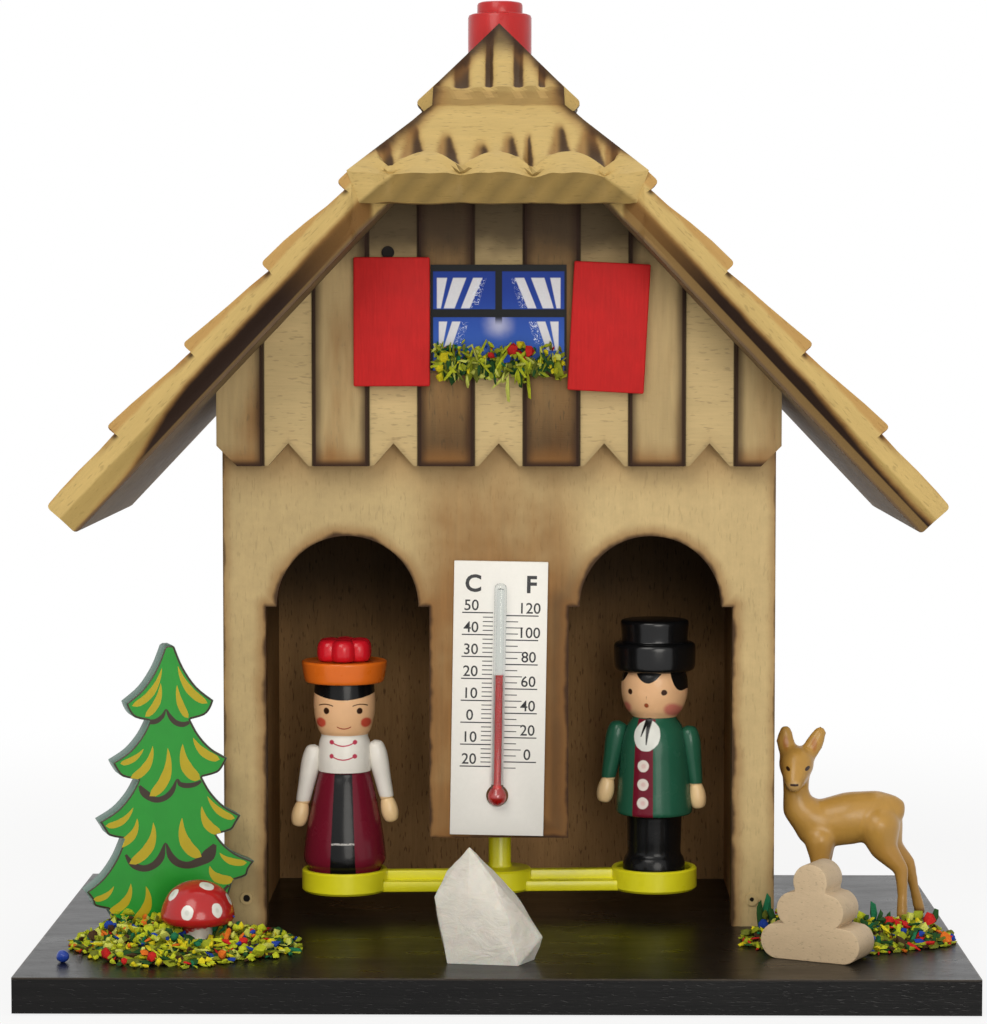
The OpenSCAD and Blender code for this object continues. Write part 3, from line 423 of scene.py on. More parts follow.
def base_stain():
    p, c = Paint("Black stained plywood"), colours()
    low, high = box_mm("base_board")
    bands, lines, pores = fibres(p, "X", None, 3.0, 0.3)
    p.colour = p.shade(c.base_stain, bands, 0.6, 1.35)
    p.tone(lines, 0.75, 1.3)
    ply = p.swing(p.z - low.z, (high.z - low.z) / 2.5)
    face = p.step(abs(p.facing("Z")), 0.9, 0.5)
    p.tone(p.step(ply, 0.2, 0.7) * face, 1.05, 0.62)
    rim = p.least(p.x - low.x, high.x - p.x, p.y - low.y, high.y - p.y)
    upper = p.step(p.z, high.z - 0.5, high.z - 0.1)
    worn = p.step(rim + (p.cloud(1.4, (3, 3, 1)) - 0.5) * 1.3, 0.45, 0.1) * upper
    p.coat(worn * 0.7, rgb(70, 62, 54))
    return p.finish(p.colour, p.cloud(5, (3, 1, 1), 3) * 0.2 + 0.2, lines * 0.7 - pores, 0.03,
                    Specular_IOR_Level=0.18)


def pin_finish():
    """Dark pin heads; the low ones are filled round with wood."""
    p, c = Paint("Filled pin heads"), colours()
    low, high = box_mm("panel_pins")
    away = p.hypot(abs(p.x) - high.x + 1.3, p.z - low.z - 1.3)
    dark = p.step(away + p.cloud(0.6) * 0.3 + p.step(p.x, -1, 1) * 0.3, 0.95, 0.8)
    filled, height = sawn(p, c.pale_wood, "Z", depth=0.1)
    colour = p.mix(p.most(dark, p.step(p.z, 40, 60)), filled, rgb(24, 19, 16))
    return p.finish(colour, 0.5, height, 0.02, Specular_IOR_Level=0.1)


def roof_place(p):
    """Distance down a roof slope and out from its underside."""
    side, up = abs(p.x), p.z - RIDGE
    return side * COS - up * SIN, side * SIN + up * COS


def roof_slope_wood():
    p, c = Paint("Carved slope wood"), colours()
    down, out = roof_place(p)
    right = p.step(p.x, -1, 1)
    p.colour, height = sawn(p, c.roof_wood, "Y", depth=0.12, broad=3.4)
    end_colour, _ = sawn(p, c.roof_wood, "X", 0.12, 3.0, p.join(down, p.y, out))
    end = p.step(abs(p.facing("Y")), 0.55, 0.8)
    p.coat(end, end_colour)
    ragged = p.cloud(5, detail=3) - 0.5
    course = p.math("WRAP", down - FIRST_LIP + ragged * 2.4, COURSE, 0)
    top = p.step(out, ROOF_T - 1.4, ROOF_T - 0.4) * p.step(down, 4, 8)
    burn = p.step(course, 8.5, 1.0) * p.step(p.cloud(7, (1, 0.6, 1), 2), 0.3, 0.62)
    crease = p.step(course, 1.9, 0.3)
    p.coat(burn * top * 0.75, c.board_stain)
    p.coat(crease * top * 0.92, c.scorch)
    face = p.step(p.y, ROOF_FRONT + 4.5, ROOF_FRONT + 3.2)
    line = 4.4 - p.step(down, 84, 112) * (4.0 - right * 2.6) + ragged * 0.8
    p.coat(p.step(out + ragged, 7.5, 8.3) * face * 0.5, rgb(168, 116, 58))
    # Painted shade on the lower, backward-turned half of the front end, in olive.
    p.coat(p.step(out + ragged * 0.4, 4.6, 4.0) * face * 0.5, rgb(140, 116, 60))
    # Below a wandering line the front end is burnt brown to near black, with painted shade of its lower bevel
    # in the same dark.
    p.coat(p.step(out - line, 1.0, -0.4) * face * 0.85, c.board_stain)
    p.coat(p.step(out - line, 0.3, -0.9) * face * (p.step(down, 36, 62) * 0.7 + 0.3), rgb(40, 26, 18))
    strip = p.step(abs(out - 0.35 - right * 0.5) - right * 0.7, 0.6, 0.3) * face
    p.coat(strip * p.most(right, p.step(down, 112, 96)) * 0.7, p.shade(rgb(124, 99, 60), right, 0.9, 1.3))
    under = p.step(out + ragged * 0.6, 0.75, 0.2)
    p.coat(under * 0.86, p.shade(rgb(92, 74, 58), p.cloud(3, (1, 8, 1)), 0.7, 1.3))
    p.coat(p.step(p.y, ROOF_BACK - 1.2, ROOF_BACK) * 0.35, c.board_stain)
    return p.finish(p.colour, p.cloud(2.2, detail=2) * 0.2 + 0.48, height, 0.05, Specular_IOR_Level=0.12)


def roof_hip_wood():
    p, c = Paint("Carved half-hip wood"), colours()
    back, up = HIP_Y - p.y, p.z - RIDGE
    down, out = back * COS - up * SIN, back * SIN + up * COS
    p.colour, height = sawn(p, c.roof_wood, "X", depth=0.13, broad=3.0)
    ragged = p.cloud(3.2, detail=3) - 0.5
    top = p.step(out, 4.6, 5.8)
    cap = p.step(down + ragged, CAP_LIP, CAP_LIP - 0.6)
    burn = p.most(*(p.step(abs(p.x - x + ragged * 0.5), half * 1.25, half * 0.5) * cap for x,
                    half in CAP_VALLEYS))
    reach = p.swing(p.x - SCALLOP_AT, SCALLOP) * (2 / SCALLOP)
    arc = reach * reach * ARC_RISE + ARC_TOP
    dark = burn
    for x, head, half in HIP_FLAMES:
        run = (down - head) / 9
        tongue = run * half + half * 0.3 - abs(p.x - x + ragged * 0.9)
        one = p.step(tongue, -0.9, half * 0.4) * p.step(run, 0, 0.4)
        burn, dark = p.most(burn, one), p.most(dark, one * p.step(p.x - x, -half * 1.3, half * 0.6))
    above = top * p.step(down - arc + ragged * 0.4, 0.2, -0.2)
    p.coat(burn * above * 0.7, c.board_stain)
    # Near black over the cap's valleys, and over each flame only towards its +X side: burnt, with painted
    # shade on one wall of each carved groove.
    p.coat(p.step(dark, 0.35, 1.0) * above * 0.9, c.scorch)
    lip = p.step(abs(down - (CAP_LIP + CAP_FOOT) / 2), 2.0, 1.4) * p.step(out, 9.9, 9.3)
    p.coat(lip * 0.35, c.board_stain)
    brow = RIDGE - (FIRST_LIP + COURSE - 3) * SIN + FULL * COS
    # Painted shade: the lip's front, where it faces down or lies below the brow, is darkened to olive, with
    # painted light and shade of slanting folds across it.
    front = p.most(p.step(p.facing("Z"), 0.25, 0.0) * (p.step(p.z, brow + 3, brow + 1) * 0.35 + 0.5),
                   p.step(p.z, brow - 1.6, brow - 3) * 0.85)
    front = front * p.most(p.step(abs(p.x) + (p.z - brow) * 1.3 + ragged, 20.4, 18.8),
                           p.step(p.z, brow + 4, brow + 6))
    fold = p.swing(p.x - p.z * 0.9 + ragged * 2, 6.2) / 3.1
    p.coat(front, p.shade(rgb(122, 99, 52), fold, 0.78, 1.2))
    seam = back - abs(p.x)
    scorch(p, p.most(seam, 0) + p.step(down, 25, 33) * 5, 4.4, 1.2, 0.85)
    apex = p.step(down + ragged * 2, 0.5, -6)
    p.coat(apex * 0.75, c.scorch)
    return p.finish(p.colour, p.cloud(2.2, detail=2) * 0.18 + 0.42, height, 0.05, Specular_IOR_Level=0.16)


def lacquer(name, colour, rough, grain=0.0, speckle=0.06, bump=0.04, coat=0.16):
    """Brushed paint, with the wood's grain telling through it where there is some."""
    p = Paint(name)
    streak = p.cloud(0.5, (1, 1, 12), 3, 0.6)
    patch = p.cloud(4, detail=3)
    shown = p.shade(colour, patch, 1 - speckle * 1.6, 1 + speckle * 1.6)
    shown = p.shade(shown, streak, 1 - grain, 1 + grain)
    return p.finish(shown, patch * 0.16 + (rough - 0.08), streak * (0.4 + grain * 3) + patch * 0.6, bump,
                    Coat_Weight=coat, Coat_Roughness=0.12, Specular_IOR_Level=0.1 + coat)


def solid(name, bm):
    """A mesh in metres from one in millimetres, with its faces turned outwards."""
    bmesh.ops.scale(bm, vec=(1 / PER_M,) * 3, verts=bm.verts)
    bmesh.ops.recalc_face_normals(bm, faces=bm.faces)
    mesh = bpy.data.meshes.new(name)
    bm.to_mesh(mesh)
    bm.free()
    return mesh


def linked(name, data):
    """A new object in the scene."""
    obj = bpy.data.objects.new(name, data)
    bpy.context.scene.collection.objects.link(obj)
    return obj


def evaluated(obj):
    """The mesh that an object shows with its modifiers."""
    graph = bpy.context.evaluated_depsgraph_get()
    return bpy.data.meshes.new_from_object(obj.evaluated_get(graph))


def show(name, bm, material, body, slot, *nodes, sharp=32.0):
    """Makes a finished piece from a mesh in millimetres, riding on a body and standing for CAD nodes."""
    bmesh.ops.remove_doubles(bm, verts=bm.verts, dist=1e-4)
    mesh = solid(name, bm)
    mesh.polygons.foreach_set("use_smooth", [True] * len(mesh.polygons))
    mesh.set_sharp_from_angle(angle=math.radians(sharp))
    for one in material if isinstance(material, list) else [material]:
        mesh.materials.append(one)
    obj = linked(name, mesh)
    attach(obj, body)
    if nodes:
        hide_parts(*nodes)
    return obj


def dress(material, *nodes):
    """Gives shown CAD nodes a finish."""
    for node in nodes:
        mesh = NODES[node].data
        mesh.materials.clear()
        mesh.materials.append(material)
        for slot in NODES[node].material_slots:
            slot.material = material


def smooth_line(points, n=5):
    """A soft line through points, the same curve as the turned solids follow."""
    pts = [Vector(p) for p in points]
    last, line = len(pts) - 1, []
    for i in range(last):
        a, b, c, d = pts[max(i - 1, 0)], pts[i], pts[i + 1], pts[min(i + 2, last)]
        for k in range(n):
            t = k / n
            line.append(0.5 * (2 * b + (c - a) * t + (2 * a - 5 * b + 4 * c - d) * t * t
                               + (3 * b - a - 3 * c + d) * t ** 3))
    return line + [pts[last]]


def turned(profile, steps=64, bm=None, matrix=None):
    """Spins a profile of radius and height about the Z axis, closed at both ends, and places it."""
    bm = bm or bmesh.new()
    before = set(bm.verts)
    line = [Vector((max(r, 0), 0, z)) for r, z in profile]
    if line[0].x > 1e-6:
        line.insert(0, Vector((0, 0, line[0].z)))
    if line[-1].x > 1e-6:
        line.append(Vector((0, 0, line[-1].z)))
    verts = [bm.verts.new(v) for v in line]
    edges = [bm.edges.new(pair) for pair in zip(verts, verts[1:])]
    bmesh.ops.spin(bm, geom=verts + edges, cent=(0, 0, 0), axis=(0, 0, 1), angle=math.tau, steps=steps,
                   use_merge=True)
    bmesh.ops.remove_doubles(bm, verts=[v for v in bm.verts if v not in before], dist=1e-5)
    if matrix is not None:
        bmesh.ops.transform(bm, matrix=matrix, verts=[v for v in bm.verts if v not in before])
    return bm


def rounded(bm, edges, offset, segments):
    """Rounds edges, where there is room for it."""
    bmesh.ops.bevel(bm, geom=edges, offset=offset, segments=segments, profile=0.5, affect="EDGES",
                    material=-1, clamp_overlap=True)


def slab(outline, depth, bm=None, matrix=None, bevel=0.0, segments=2):
    """Extrudes an outline in X and Z towards +Y and rounds its edges."""
    bm = bm or bmesh.new()
    before = set(bm.verts)
    face = bm.faces.new([bm.verts.new((x, 0, z)) for x, z in outline])
    made = bmesh.ops.extrude_face_region(bm, geom=[face])
    top = [e for e in made["geom"] if isinstance(e, bmesh.types.BMVert)]
    bmesh.ops.translate(bm, vec=(0, depth, 0), verts=top)
    bmesh.ops.recalc_face_normals(bm, faces=[f for f in bm.faces if f.verts[0] not in before])
    if bevel:
        edges = [e for e in bm.edges if e.verts[0] not in before and e.is_manifold
                 and e.calc_face_angle(0) > math.radians(50)]
        rounded(bm, edges, bevel, segments)
    if matrix is not None:
        bmesh.ops.transform(bm, matrix=matrix, verts=[v for v in bm.verts if v not in before])
    return bm


def cuboid(low, high, bm=None, matrix=None, bevel=0.0, segments=2):
    """A box between two corners with rounded edges."""
    outline = [(low[0], low[2]), (high[0], low[2]), (high[0], high[2]), (low[0], high[2])]
    shift = put((0, low[1], 0))
    return slab(outline, high[1] - low[1], bm, shift if matrix is None else matrix @ shift, bevel, segments)


def cut(bm, point, normal, drop=False):
    """Cuts a mesh by a plane; with drop, what lies beyond the plane goes and the cut is closed."""
    made = bmesh.ops.bisect_plane(bm, geom=bm.verts[:] + bm.edges[:] + bm.faces[:], dist=1e-5, plane_co=point,
                                  plane_no=normal, clear_outer=drop)
    if drop:
        rim = [e for e in made["geom_cut"] if isinstance(e, bmesh.types.BMEdge)]
        bmesh.ops.edgenet_fill(bm, edges=rim)
    return bm


def fade(value, low, high):
    """0 below low and 1 above high, with a soft way between; turned round where low is the higher."""
    t = min(max((value - low) / (high - low), 0), 1)
    return t * t * (3 - 2 * t)


def wander(bm, amount, size, weight=None):
    """Moves points a little, by a noise of their place, as a knife does."""
    noise.seed_set(CARVE_SEED)
    for vert in bm.verts:
        scale = amount if weight is None else amount * weight(vert.co)
        if scale:
            vert.co += noise.noise_vector(vert.co / size) * scale


def bored(obj, cutter_bm):
    """Takes a cutter in millimetres out of a piece."""
    mesh = solid("cutter", cutter_bm)
    cutter = linked("cutter", mesh)
    difference = obj.modifiers.new("Bore", "BOOLEAN")
    difference.object = cutter
    difference.operation = "DIFFERENCE"
    difference.solver = "EXACT"
    result = evaluated(obj)
    obj.modifiers.clear()
    old = obj.data
    obj.data = result
    bpy.data.meshes.remove(old)
    bpy.data.objects.remove(cutter)
    bpy.data.meshes.remove(mesh)


class BasePiece(bpy.types.Operator):
    """Stains the base board black and finishes the screws under it"""

    bl_idname = "weather_house.base"
    bl_label = "Base board"

    def execute(self, context):
        dress(base_stain(), "base_board")
        dress(metal("Zinced steel", rgb(150, 150, 148), 0.34), "base_screws", "back_pins")
        dress(pin_finish(), "panel_pins")
        return {"FINISHED"}


class WallPieces(bpy.types.Operator):
    """Finishes the scorched front, the boarded gable and the stained walls"""

    bl_idname = "weather_house.walls"
    bl_label = "Front, gable and walls"

    def execute(self, context):
        dress(front_panel_wood(), "front_panel")
        dress(gable_wood(), "gable_panel")
        dress(room_wood(), "left_wall", "right_wall", "back_panel")
        return {"FINISHED"}


class RoofPieces(bpy.types.Operator):
    """Carves the two slopes and the half-hip"""

    bl_idname = "weather_house.roof"
    bl_label = "Carved roof"

    def execute(self, context):
        slope_wood = roof_slope_wood()
        low, high = box_mm("chimney_knob")
        axis, radius = middle_mm("chimney_knob"), (high.x - low.x) / 2 + 0.3
        at = put((axis.x, axis.y, 0))
        well = [(radius, low.z - 0.05), (radius, high.z + 9)]
        shaft = [(2.1, RIDGE - 20), (2.1, low.z + 2)]
        for side, node in ((-1, "left_roof"), (1, "right_roof")):
            obj = show(node + "_carved", self.slope(side), slope_wood, "house", "roof_wood", node, sharp=28)
            for profile, steps in ((well, 48), (shaft, 24)):
                bored(obj, turned(profile, steps, matrix=at))
        show("roof_hip_carved", self.hip(), roof_hip_wood(), "house", "roof_wood", "roof_hip", sharp=40)
        return {"FINISHED"}

    def slope(self, side):
        """One slope, worked flat with X down the slope and Z out of it, then laid in place."""
        outline = [(-FULL * SIN / COS + 0.05, FULL), (FIRST_LIP, FULL), (FIRST_LIP, ROOF_T)]
        for i in range(1, LIPS):
            outline += [(FIRST_LIP + i * COURSE, FULL), (FIRST_LIP + i * COURSE, ROOF_T)]
        outline += [(TAIL, ROOF_T), (TAIL, 0), (0.05, 0)]
        bm = slab(outline, ROOF_BACK - ROOF_FRONT, matrix=put((0, ROOF_FRONT, 0)))
        lips = [e for e in bm.edges if all(abs(v.co.z - FULL) < 1e-3 and v.co.x > 0 for v in e.verts)
                and abs(e.verts[0].co.x - e.verts[1].co.x) < 1e-3]
        lips += [e for e in bm.edges if all(v.co.x > TAIL - 1e-3 for v in e.verts)
                 and abs(e.verts[0].co.z - e.verts[1].co.z) < 1e-3]
        rounded(bm, lips, sizes().lip_round * PER_M, 3)
        for z in SLOPE_CUTS:
            cut(bm, (0, 0, z), (0, 0, 1))
        cut(bm, (0, HIP_Y + 0.06, 0), (-COS, -1, -SIN), drop=True)
        for k in range(1, 16):
            cut(bm, (0, ROOF_FRONT + k * (ROOF_BACK - ROOF_FRONT) / 16, 0), (0, 1, 0))
        for k in range(1, 22):
            cut(bm, (k * TAIL / 22 + 1.3, 0, 0), (1, 0, 0))
        depth = sizes().front_bevel * PER_M
        for vert in bm.verts:
            if vert.co.y < ROOF_FRONT + 0.01:
                vert.co.y += fade(vert.co.z, 5.0, 0.8) * (0.4 + 0.6 * fade(vert.co.x, 118, 94)) * depth
                vert.co.y += 0.5 * noise.noise(vert.co / 11)
        wander(bm, sizes().carve_wave * PER_M, 8, lambda co: fade(co.z, 1.0, 5.0) * fade(co.x, 0, 6))
        lay = Matrix(((COS, 0, SIN, 0), (0, 1, 0, 0), (-SIN, 0, COS, RIDGE), (0, 0, 0, 1)))
        bmesh.ops.transform(bm, matrix=Matrix.Diagonal((side, 1, 1, 1)) @ lay, verts=bm.verts)
        return bm

    def hip(self):
        """The half-hip: a cap tier with narrow flutes over a tier with scoops and a scalloped lip."""
        def at(down, out):
            return HIP_Y - (down * COS + out * SIN), RIDGE - down * SIN + out * COS
        edge = at(FIRST_LIP + COURSE, FULL - 6.0)
        section = [at(-FULL * SIN / COS + 0.02, FULL), at(CAP_LIP, FULL), at(CAP_FOOT, ROOF_T - 0.2),
                   at(FIRST_LIP + COURSE - 3.0, FULL), edge, (HIP_Y - (RIDGE - edge[1]) * COS / SIN, edge[1]),
                   (HIP_Y, RIDGE)]
        turn = Matrix(((0, 1, 0, -60), (1, 0, 0, 0), (0, 0, 1, 0), (0, 0, 0, 1)))
        bm = slab(section, 120, matrix=turn)
        for side in (-1, 1):
            cut(bm, (0, HIP_Y, 0), (side, 1, 0), drop=True)
        slope = Vector((0, -COS, -SIN))
        normal = Vector((0, -SIN, COS))
        top = Vector((0, HIP_Y, RIDGE))
        for down in HIP_CUTS:
            cut(bm, top + slope * down, slope)
        for out in (4.6, 6.2, 7.6):
            cut(bm, top + normal * out, normal)
        for k in range(-40, 41):
            cut(bm, (k * 0.84, 0, 0), (1, 0, 0))
        for vert in bm.verts:
            away = vert.co - top
            down, out = away.dot(slope), away.dot(normal)
            lift = fade(out, 4.4, 7.6)
            rim = fade(-away.y - abs(vert.co.x), 0.05, 1.6)
            x = vert.co.x
            dip = push = 0.0
            if down < CAP_FOOT + 0.1:
                for middle, half in CAP_VALLEYS:
                    dip += 1.1 * math.exp(-((x - middle) / half) ** 2) * fade(down, 10.6, 6.5) * lift
                push = 0.55 * noise.noise((x / 4.5, 3.1, 0)) * fade(down, 5, 8) * lift
            else:
                reach = abs((x - SCALLOP_AT + SCALLOP / 2) % SCALLOP - SCALLOP / 2) * 2 / SCALLOP
                low = fade(down, 26, 30)
                for middle, head, half in HIP_FLAMES:
                    groove = 1.1 * math.exp(-((x - middle) / half) ** 2)
                    dip += groove * fade(down, head, 24) * fade(down, 26.5, 25.4) * lift
                scoop = 0.8 * fade(down, 14, 24.5) * fade(down, 26.5, 25.2) * lift
                dip += scoop + 2.2 * low * reach ** 2 * fade(out, FULL - 6, FULL)
                push = ARC_RISE * reach ** 2 * fade(down, 18, 25) * fade(down, 33, 27) * lift
                frayed = 1.2 * low * (0.4 - reach ** 2) + 0.5 * low * noise.noise((x / 3.0, 8.3, 0))
                push += frayed * (0.35 + 0.65 * lift)
            vert.co -= normal * dip * rim
            vert.co += slope * push * rim
        wander(bm, sizes().carve_wave * 0.8 * PER_M, 7,
               lambda co: fade((co - top).dot(normal), 3.5, 6.0) * fade(HIP_Y - co.y - abs(co.x), 0.1, 2.0))
        return bm


def metal(name, colour, rough):
    p = Paint(name)
    wipe = p.cloud(0.6, (1, 1, 8), 3, 0.6)
    return p.finish(p.shade(colour, p.cloud(1.5, detail=3), 0.8, 1.2), wipe * 0.2 + (rough - 0.1), wipe, 0.01,
                    Metallic=1.0)


AXIS = Vector((0, 13, 0))
# The arm and the thermometer card have axes of their own; the card stands a little askew.
ON_ARM = put(AXIS, 3)
CARD_AT = Vector((0, box_mm("thermometer_card")[0].y, middle_mm("thermometer_card").z))
ON_CARD = put(CARD_AT, 1, "Y")
CARD_X, CARD_T, CARD_Z = 9.7, 0.8, 28.5
# Height of the bulb and of 20 degrees on the card, and millimetres for one degree Celsius.
BULB_Z, AT_TWENTY, PER_DEGREE = -20.2, 4.1, 0.4565


def moulded(name, colour, rough):
    """Glossy moulded plastic that lets a little light in."""
    p = Paint(name)
    flow = p.cloud(5, detail=3)
    deep = 2.5 / PER_M
    return p.finish(p.shade(colour, flow, 0.9, 1.1), flow * 0.12 + (rough - 0.06), p.cloud(0.8, detail=2),
                    0.012, Subsurface_Weight=0.25, Subsurface_Radius=(deep, deep, deep * 0.4))


def gut_finish():
    p = Paint("Twisted gut")
    twist = p.swing(p.z + p.math("ARCTAN2", p.y - AXIS.y, p.x) * 0.2, 0.6)
    return p.finish(p.shade(rgb(206, 176, 120), twist, 0.8, 1.2), 0.4, twist, 0.15, Subsurface_Weight=0.2,
                    Subsurface_Radius=(0.001, 0.0008, 0.0005))


def window_print():
    """A printed window: dark bars, blue panes, striped curtains drawn aside and a pale gleam."""
    p = Paint("Printed window")
    low, high = box_mm("window_card")
    side, z = abs(p.x), p.z - 0.6
    ink = p.cloud(0.35, detail=2)
    blue = p.mix(p.step(z + ink, low.z + 2, high.z - 4), rgb(50, 90, 176), rgb(24, 54, 140))
    gleam = p.step(p.hypot(p.x, (z - 131.2) * 1.1) + p.cloud(2, detail=2), 4.6, 0.4)
    p.colour = p.mix(gleam * 0.65, blue, rgb(196, 196, 214))

    def band(top, bottom, z_top, z_low):
        t = (z_top - z) / (z_top - z_low)
        left, right = t * (bottom[0] - top[0]) + top[0], t * (bottom[1] - top[1]) + top[1]
        inside = p.step(side - left, -0.12, 0.12) * p.step(right - side, -0.12, 0.12)
        return inside * p.step(t, -0.02, 0.02) * p.step(t, 1.02, 0.98)

    high_pane, low_pane = (140.8, 134.6), (131.9, 126.0)
    cloth = p.most(band((10.5, 12.6), (11.8, 12.6), *high_pane), band((6.6, 9.3), (9.0, 11.2), *high_pane),
                   band((3.3, 5.2), (5.9, 7.7), *high_pane), band((10.5, 12.2), (11.6, 12.2), *low_pane),
                   band((7.8, 9.5), (9.8, 11.4), *low_pane))
    p.coat(cloth, p.shade(rgb(208, 208, 214), ink, 0.92, 1.05))
    lace = p.step(abs(p.cloud(0.8, twist=1.5, detail=0.0) - 0.5), 0.035, 0.012)
    upper = p.step(abs(side - 3.4 - (high_pane[0] - z) * 0.3), 1.1, 0.7) * p.step(abs(z - 137.7), 3.1, 2.8)
    lower = p.step(abs(side - 6.9 - (low_pane[0] - z) * 0.3), 1.0, 0.6) * p.step(abs(z - 129.6), 2.4, 2.1)
    p.coat(lace * p.most(upper, lower), rgb(214, 220, 236))
    rail = p.most(p.step(abs(z - 133.6), 0.9, 0.75), p.step(z, high.z - 2.1, high.z - 1.9),
                  p.step(side, 13.3, 13.45))
    post = p.step(side, 0.8, 0.62) * p.step(z, 131.0, 133.0)
    p.coat(p.most(rail, post), p.shade(rgb(18, 20, 22), ink, 0.8, 1.3))
    front = p.step(p.facing("Y"), -0.4, -0.6)
    p.colour = p.mix(front, rgb(214, 208, 196), p.colour)
    return p.finish(p.colour, ink * 0.1 + 0.3, ink, 0.01, Specular_IOR_Level=0.1)


def card_finish():
    p = Paint("Printed card")
    fleck = p.cloud(0.9, detail=4, rough=0.7)
    return p.finish(p.shade(rgb(238, 236, 230), fleck, 0.95, 1.03), 0.42, fleck, 0.012)


def ink_finish():
    p = Paint("Scale ink")
    return p.finish(p.shade(rgb(34, 34, 36), p.cloud(0.4, detail=2), 0.75, 1.3), 0.5)


def glass_finish():
    p = Paint("Drawn glass")
    wave = p.cloud(2.5, (1, 1, 4), 2)
    return p.finish(p.shade(rgb(250, 252, 252), wave, 0.97, 1.02), wave * 0.04 + 0.02, wave, 0.01,
                    Transmission_Weight=1.0, IOR=1.35)


def spirit_finish():
    p = Paint("Dyed spirit")
    depth = p.cloud(1.2, detail=2)
    return p.finish(p.shade(rgb(224, 34, 28), depth, 0.9, 1.15), depth * 0.05 + 0.1)


class ChimneyPiece(bpy.types.Operator):
    """Turns the red chimney that sets the arm"""

    bl_idname = "weather_house.chimney"
    bl_label = "Chimney knob"

    def execute(self, context):
        low, high = box_mm("chimney_knob")
        r, neck, shoulder = (high.x - low.x) / 2, 4.75, high.z - 2.5
        profile = [(r - 0.5, low.z), (r, low.z + 0.5), (r, shoulder - 0.75), (r - 0.22, shoulder - 0.22),
                   (r - 0.75, shoulder), (neck + 0.22, shoulder), (neck, shoulder + 0.22),
                   (neck, high.z - 0.65), (neck - 0.2, high.z - 0.2), (neck - 0.65, high.z)]
        bm = turned(profile, 72, matrix=put((AXIS.x, AXIS.y, 0)))
        wander(bm, 0.05, 3)
        show("chimney_turned", bm, lacquer("Chimney red", colours().red_paint, 0.3, 0.05), "knob",
             "red_paint", "chimney_knob")
        steel = metal("Spindle steel", rgb(168, 168, 165), 0.3)
        dress(steel, "knob_spindle", "knob_collar")
        dress(metal("Bush brass", rgb(196, 160, 84), 0.34), "spindle_bush")
        dress(plain_wood("Ridge block wood", colours().pale_wood, "Y"), "ridge_block")
        return {"FINISHED"}


class ArmPieces(bpy.types.Operator):
    """Moulds the yellow balance arm and finishes the gut that carries it"""

    bl_idname = "weather_house.arm"
    bl_label = "Balance arm"

    def execute(self, context):
        low, high = box_mm("balance_arm")
        z, reach, rim = low.z, 32.95, low.z + 4.7
        bm = cuboid((-reach, -4, z), (reach, 4, z + 2.3), matrix=ON_ARM, bevel=0.45)
        cuboid((-reach, -1.3, z + 1), (reach, 1.3, z + 4.3), bm, ON_ARM, 0.5)
        dish = [(8.6, z), (9.1, z + 0.5), (9.1, rim - 0.35), (8.8, rim), (8.15, rim), (7.9, rim - 0.3),
                (7.9, z + 2.6), (7.6, z + 2.3)]
        for side in (-1, 1):
            turned(dish, 72, bm, ON_ARM @ put((side * reach, 0, 0)))
        hub = [(6.3, z), (6.8, z + 0.5), (6.8, rim - 0.5), (6.35, rim - 0.05), (3.3, rim), (2.65, rim + 0.25),
               (2.4, rim + 0.9), (2.4, high.z - 0.4), (2.05, high.z), (1.33, high.z), (1.33, high.z - 7)]
        turned(hub, 56, bm, ON_ARM)
        show("balance_arm_moulded", bm, moulded("Yellow moulding", colours().yellow_plastic, 0.3), "arm",
             "yellow_plastic", "balance_arm")
        dress(gut_finish(), "gut_string")
        dress(plain_wood("Wedge wood", colours().pale_wood, "Z"), "gut_wedge", "figure_pegs")
        return {"FINISHED"}


class WindowPieces(bpy.types.Operator):
    """Makes the shutters and prints the window card"""

    bl_idname = "weather_house.window"
    bl_label = "Window and shutters"

    def execute(self, context):
        red = lacquer("Shutter red", colours().red_paint, 0.56, 0.16, speckle=0.08, bump=0.07, coat=0.0)
        for node, tilt in (("left_shutter", 0), ("right_shutter", 3)):
            low, high = box_mm(node)
            half = Vector((7.8, (high.y - low.y) / 2, 13.15))
            turn = put((low + high) / 2 + Vector((0, 0, 0.8 if tilt == 0 else -0.3)), tilt, "Y")
            bm = cuboid(-half, half, matrix=turn, bevel=sizes().edge_round * PER_M, segments=3)
            wander(bm, 0.05, 4)
            show(node + "_board", bm, red, "house", "red_paint", node)
        dress(window_print(), "window_card")
        return {"FINISHED"}


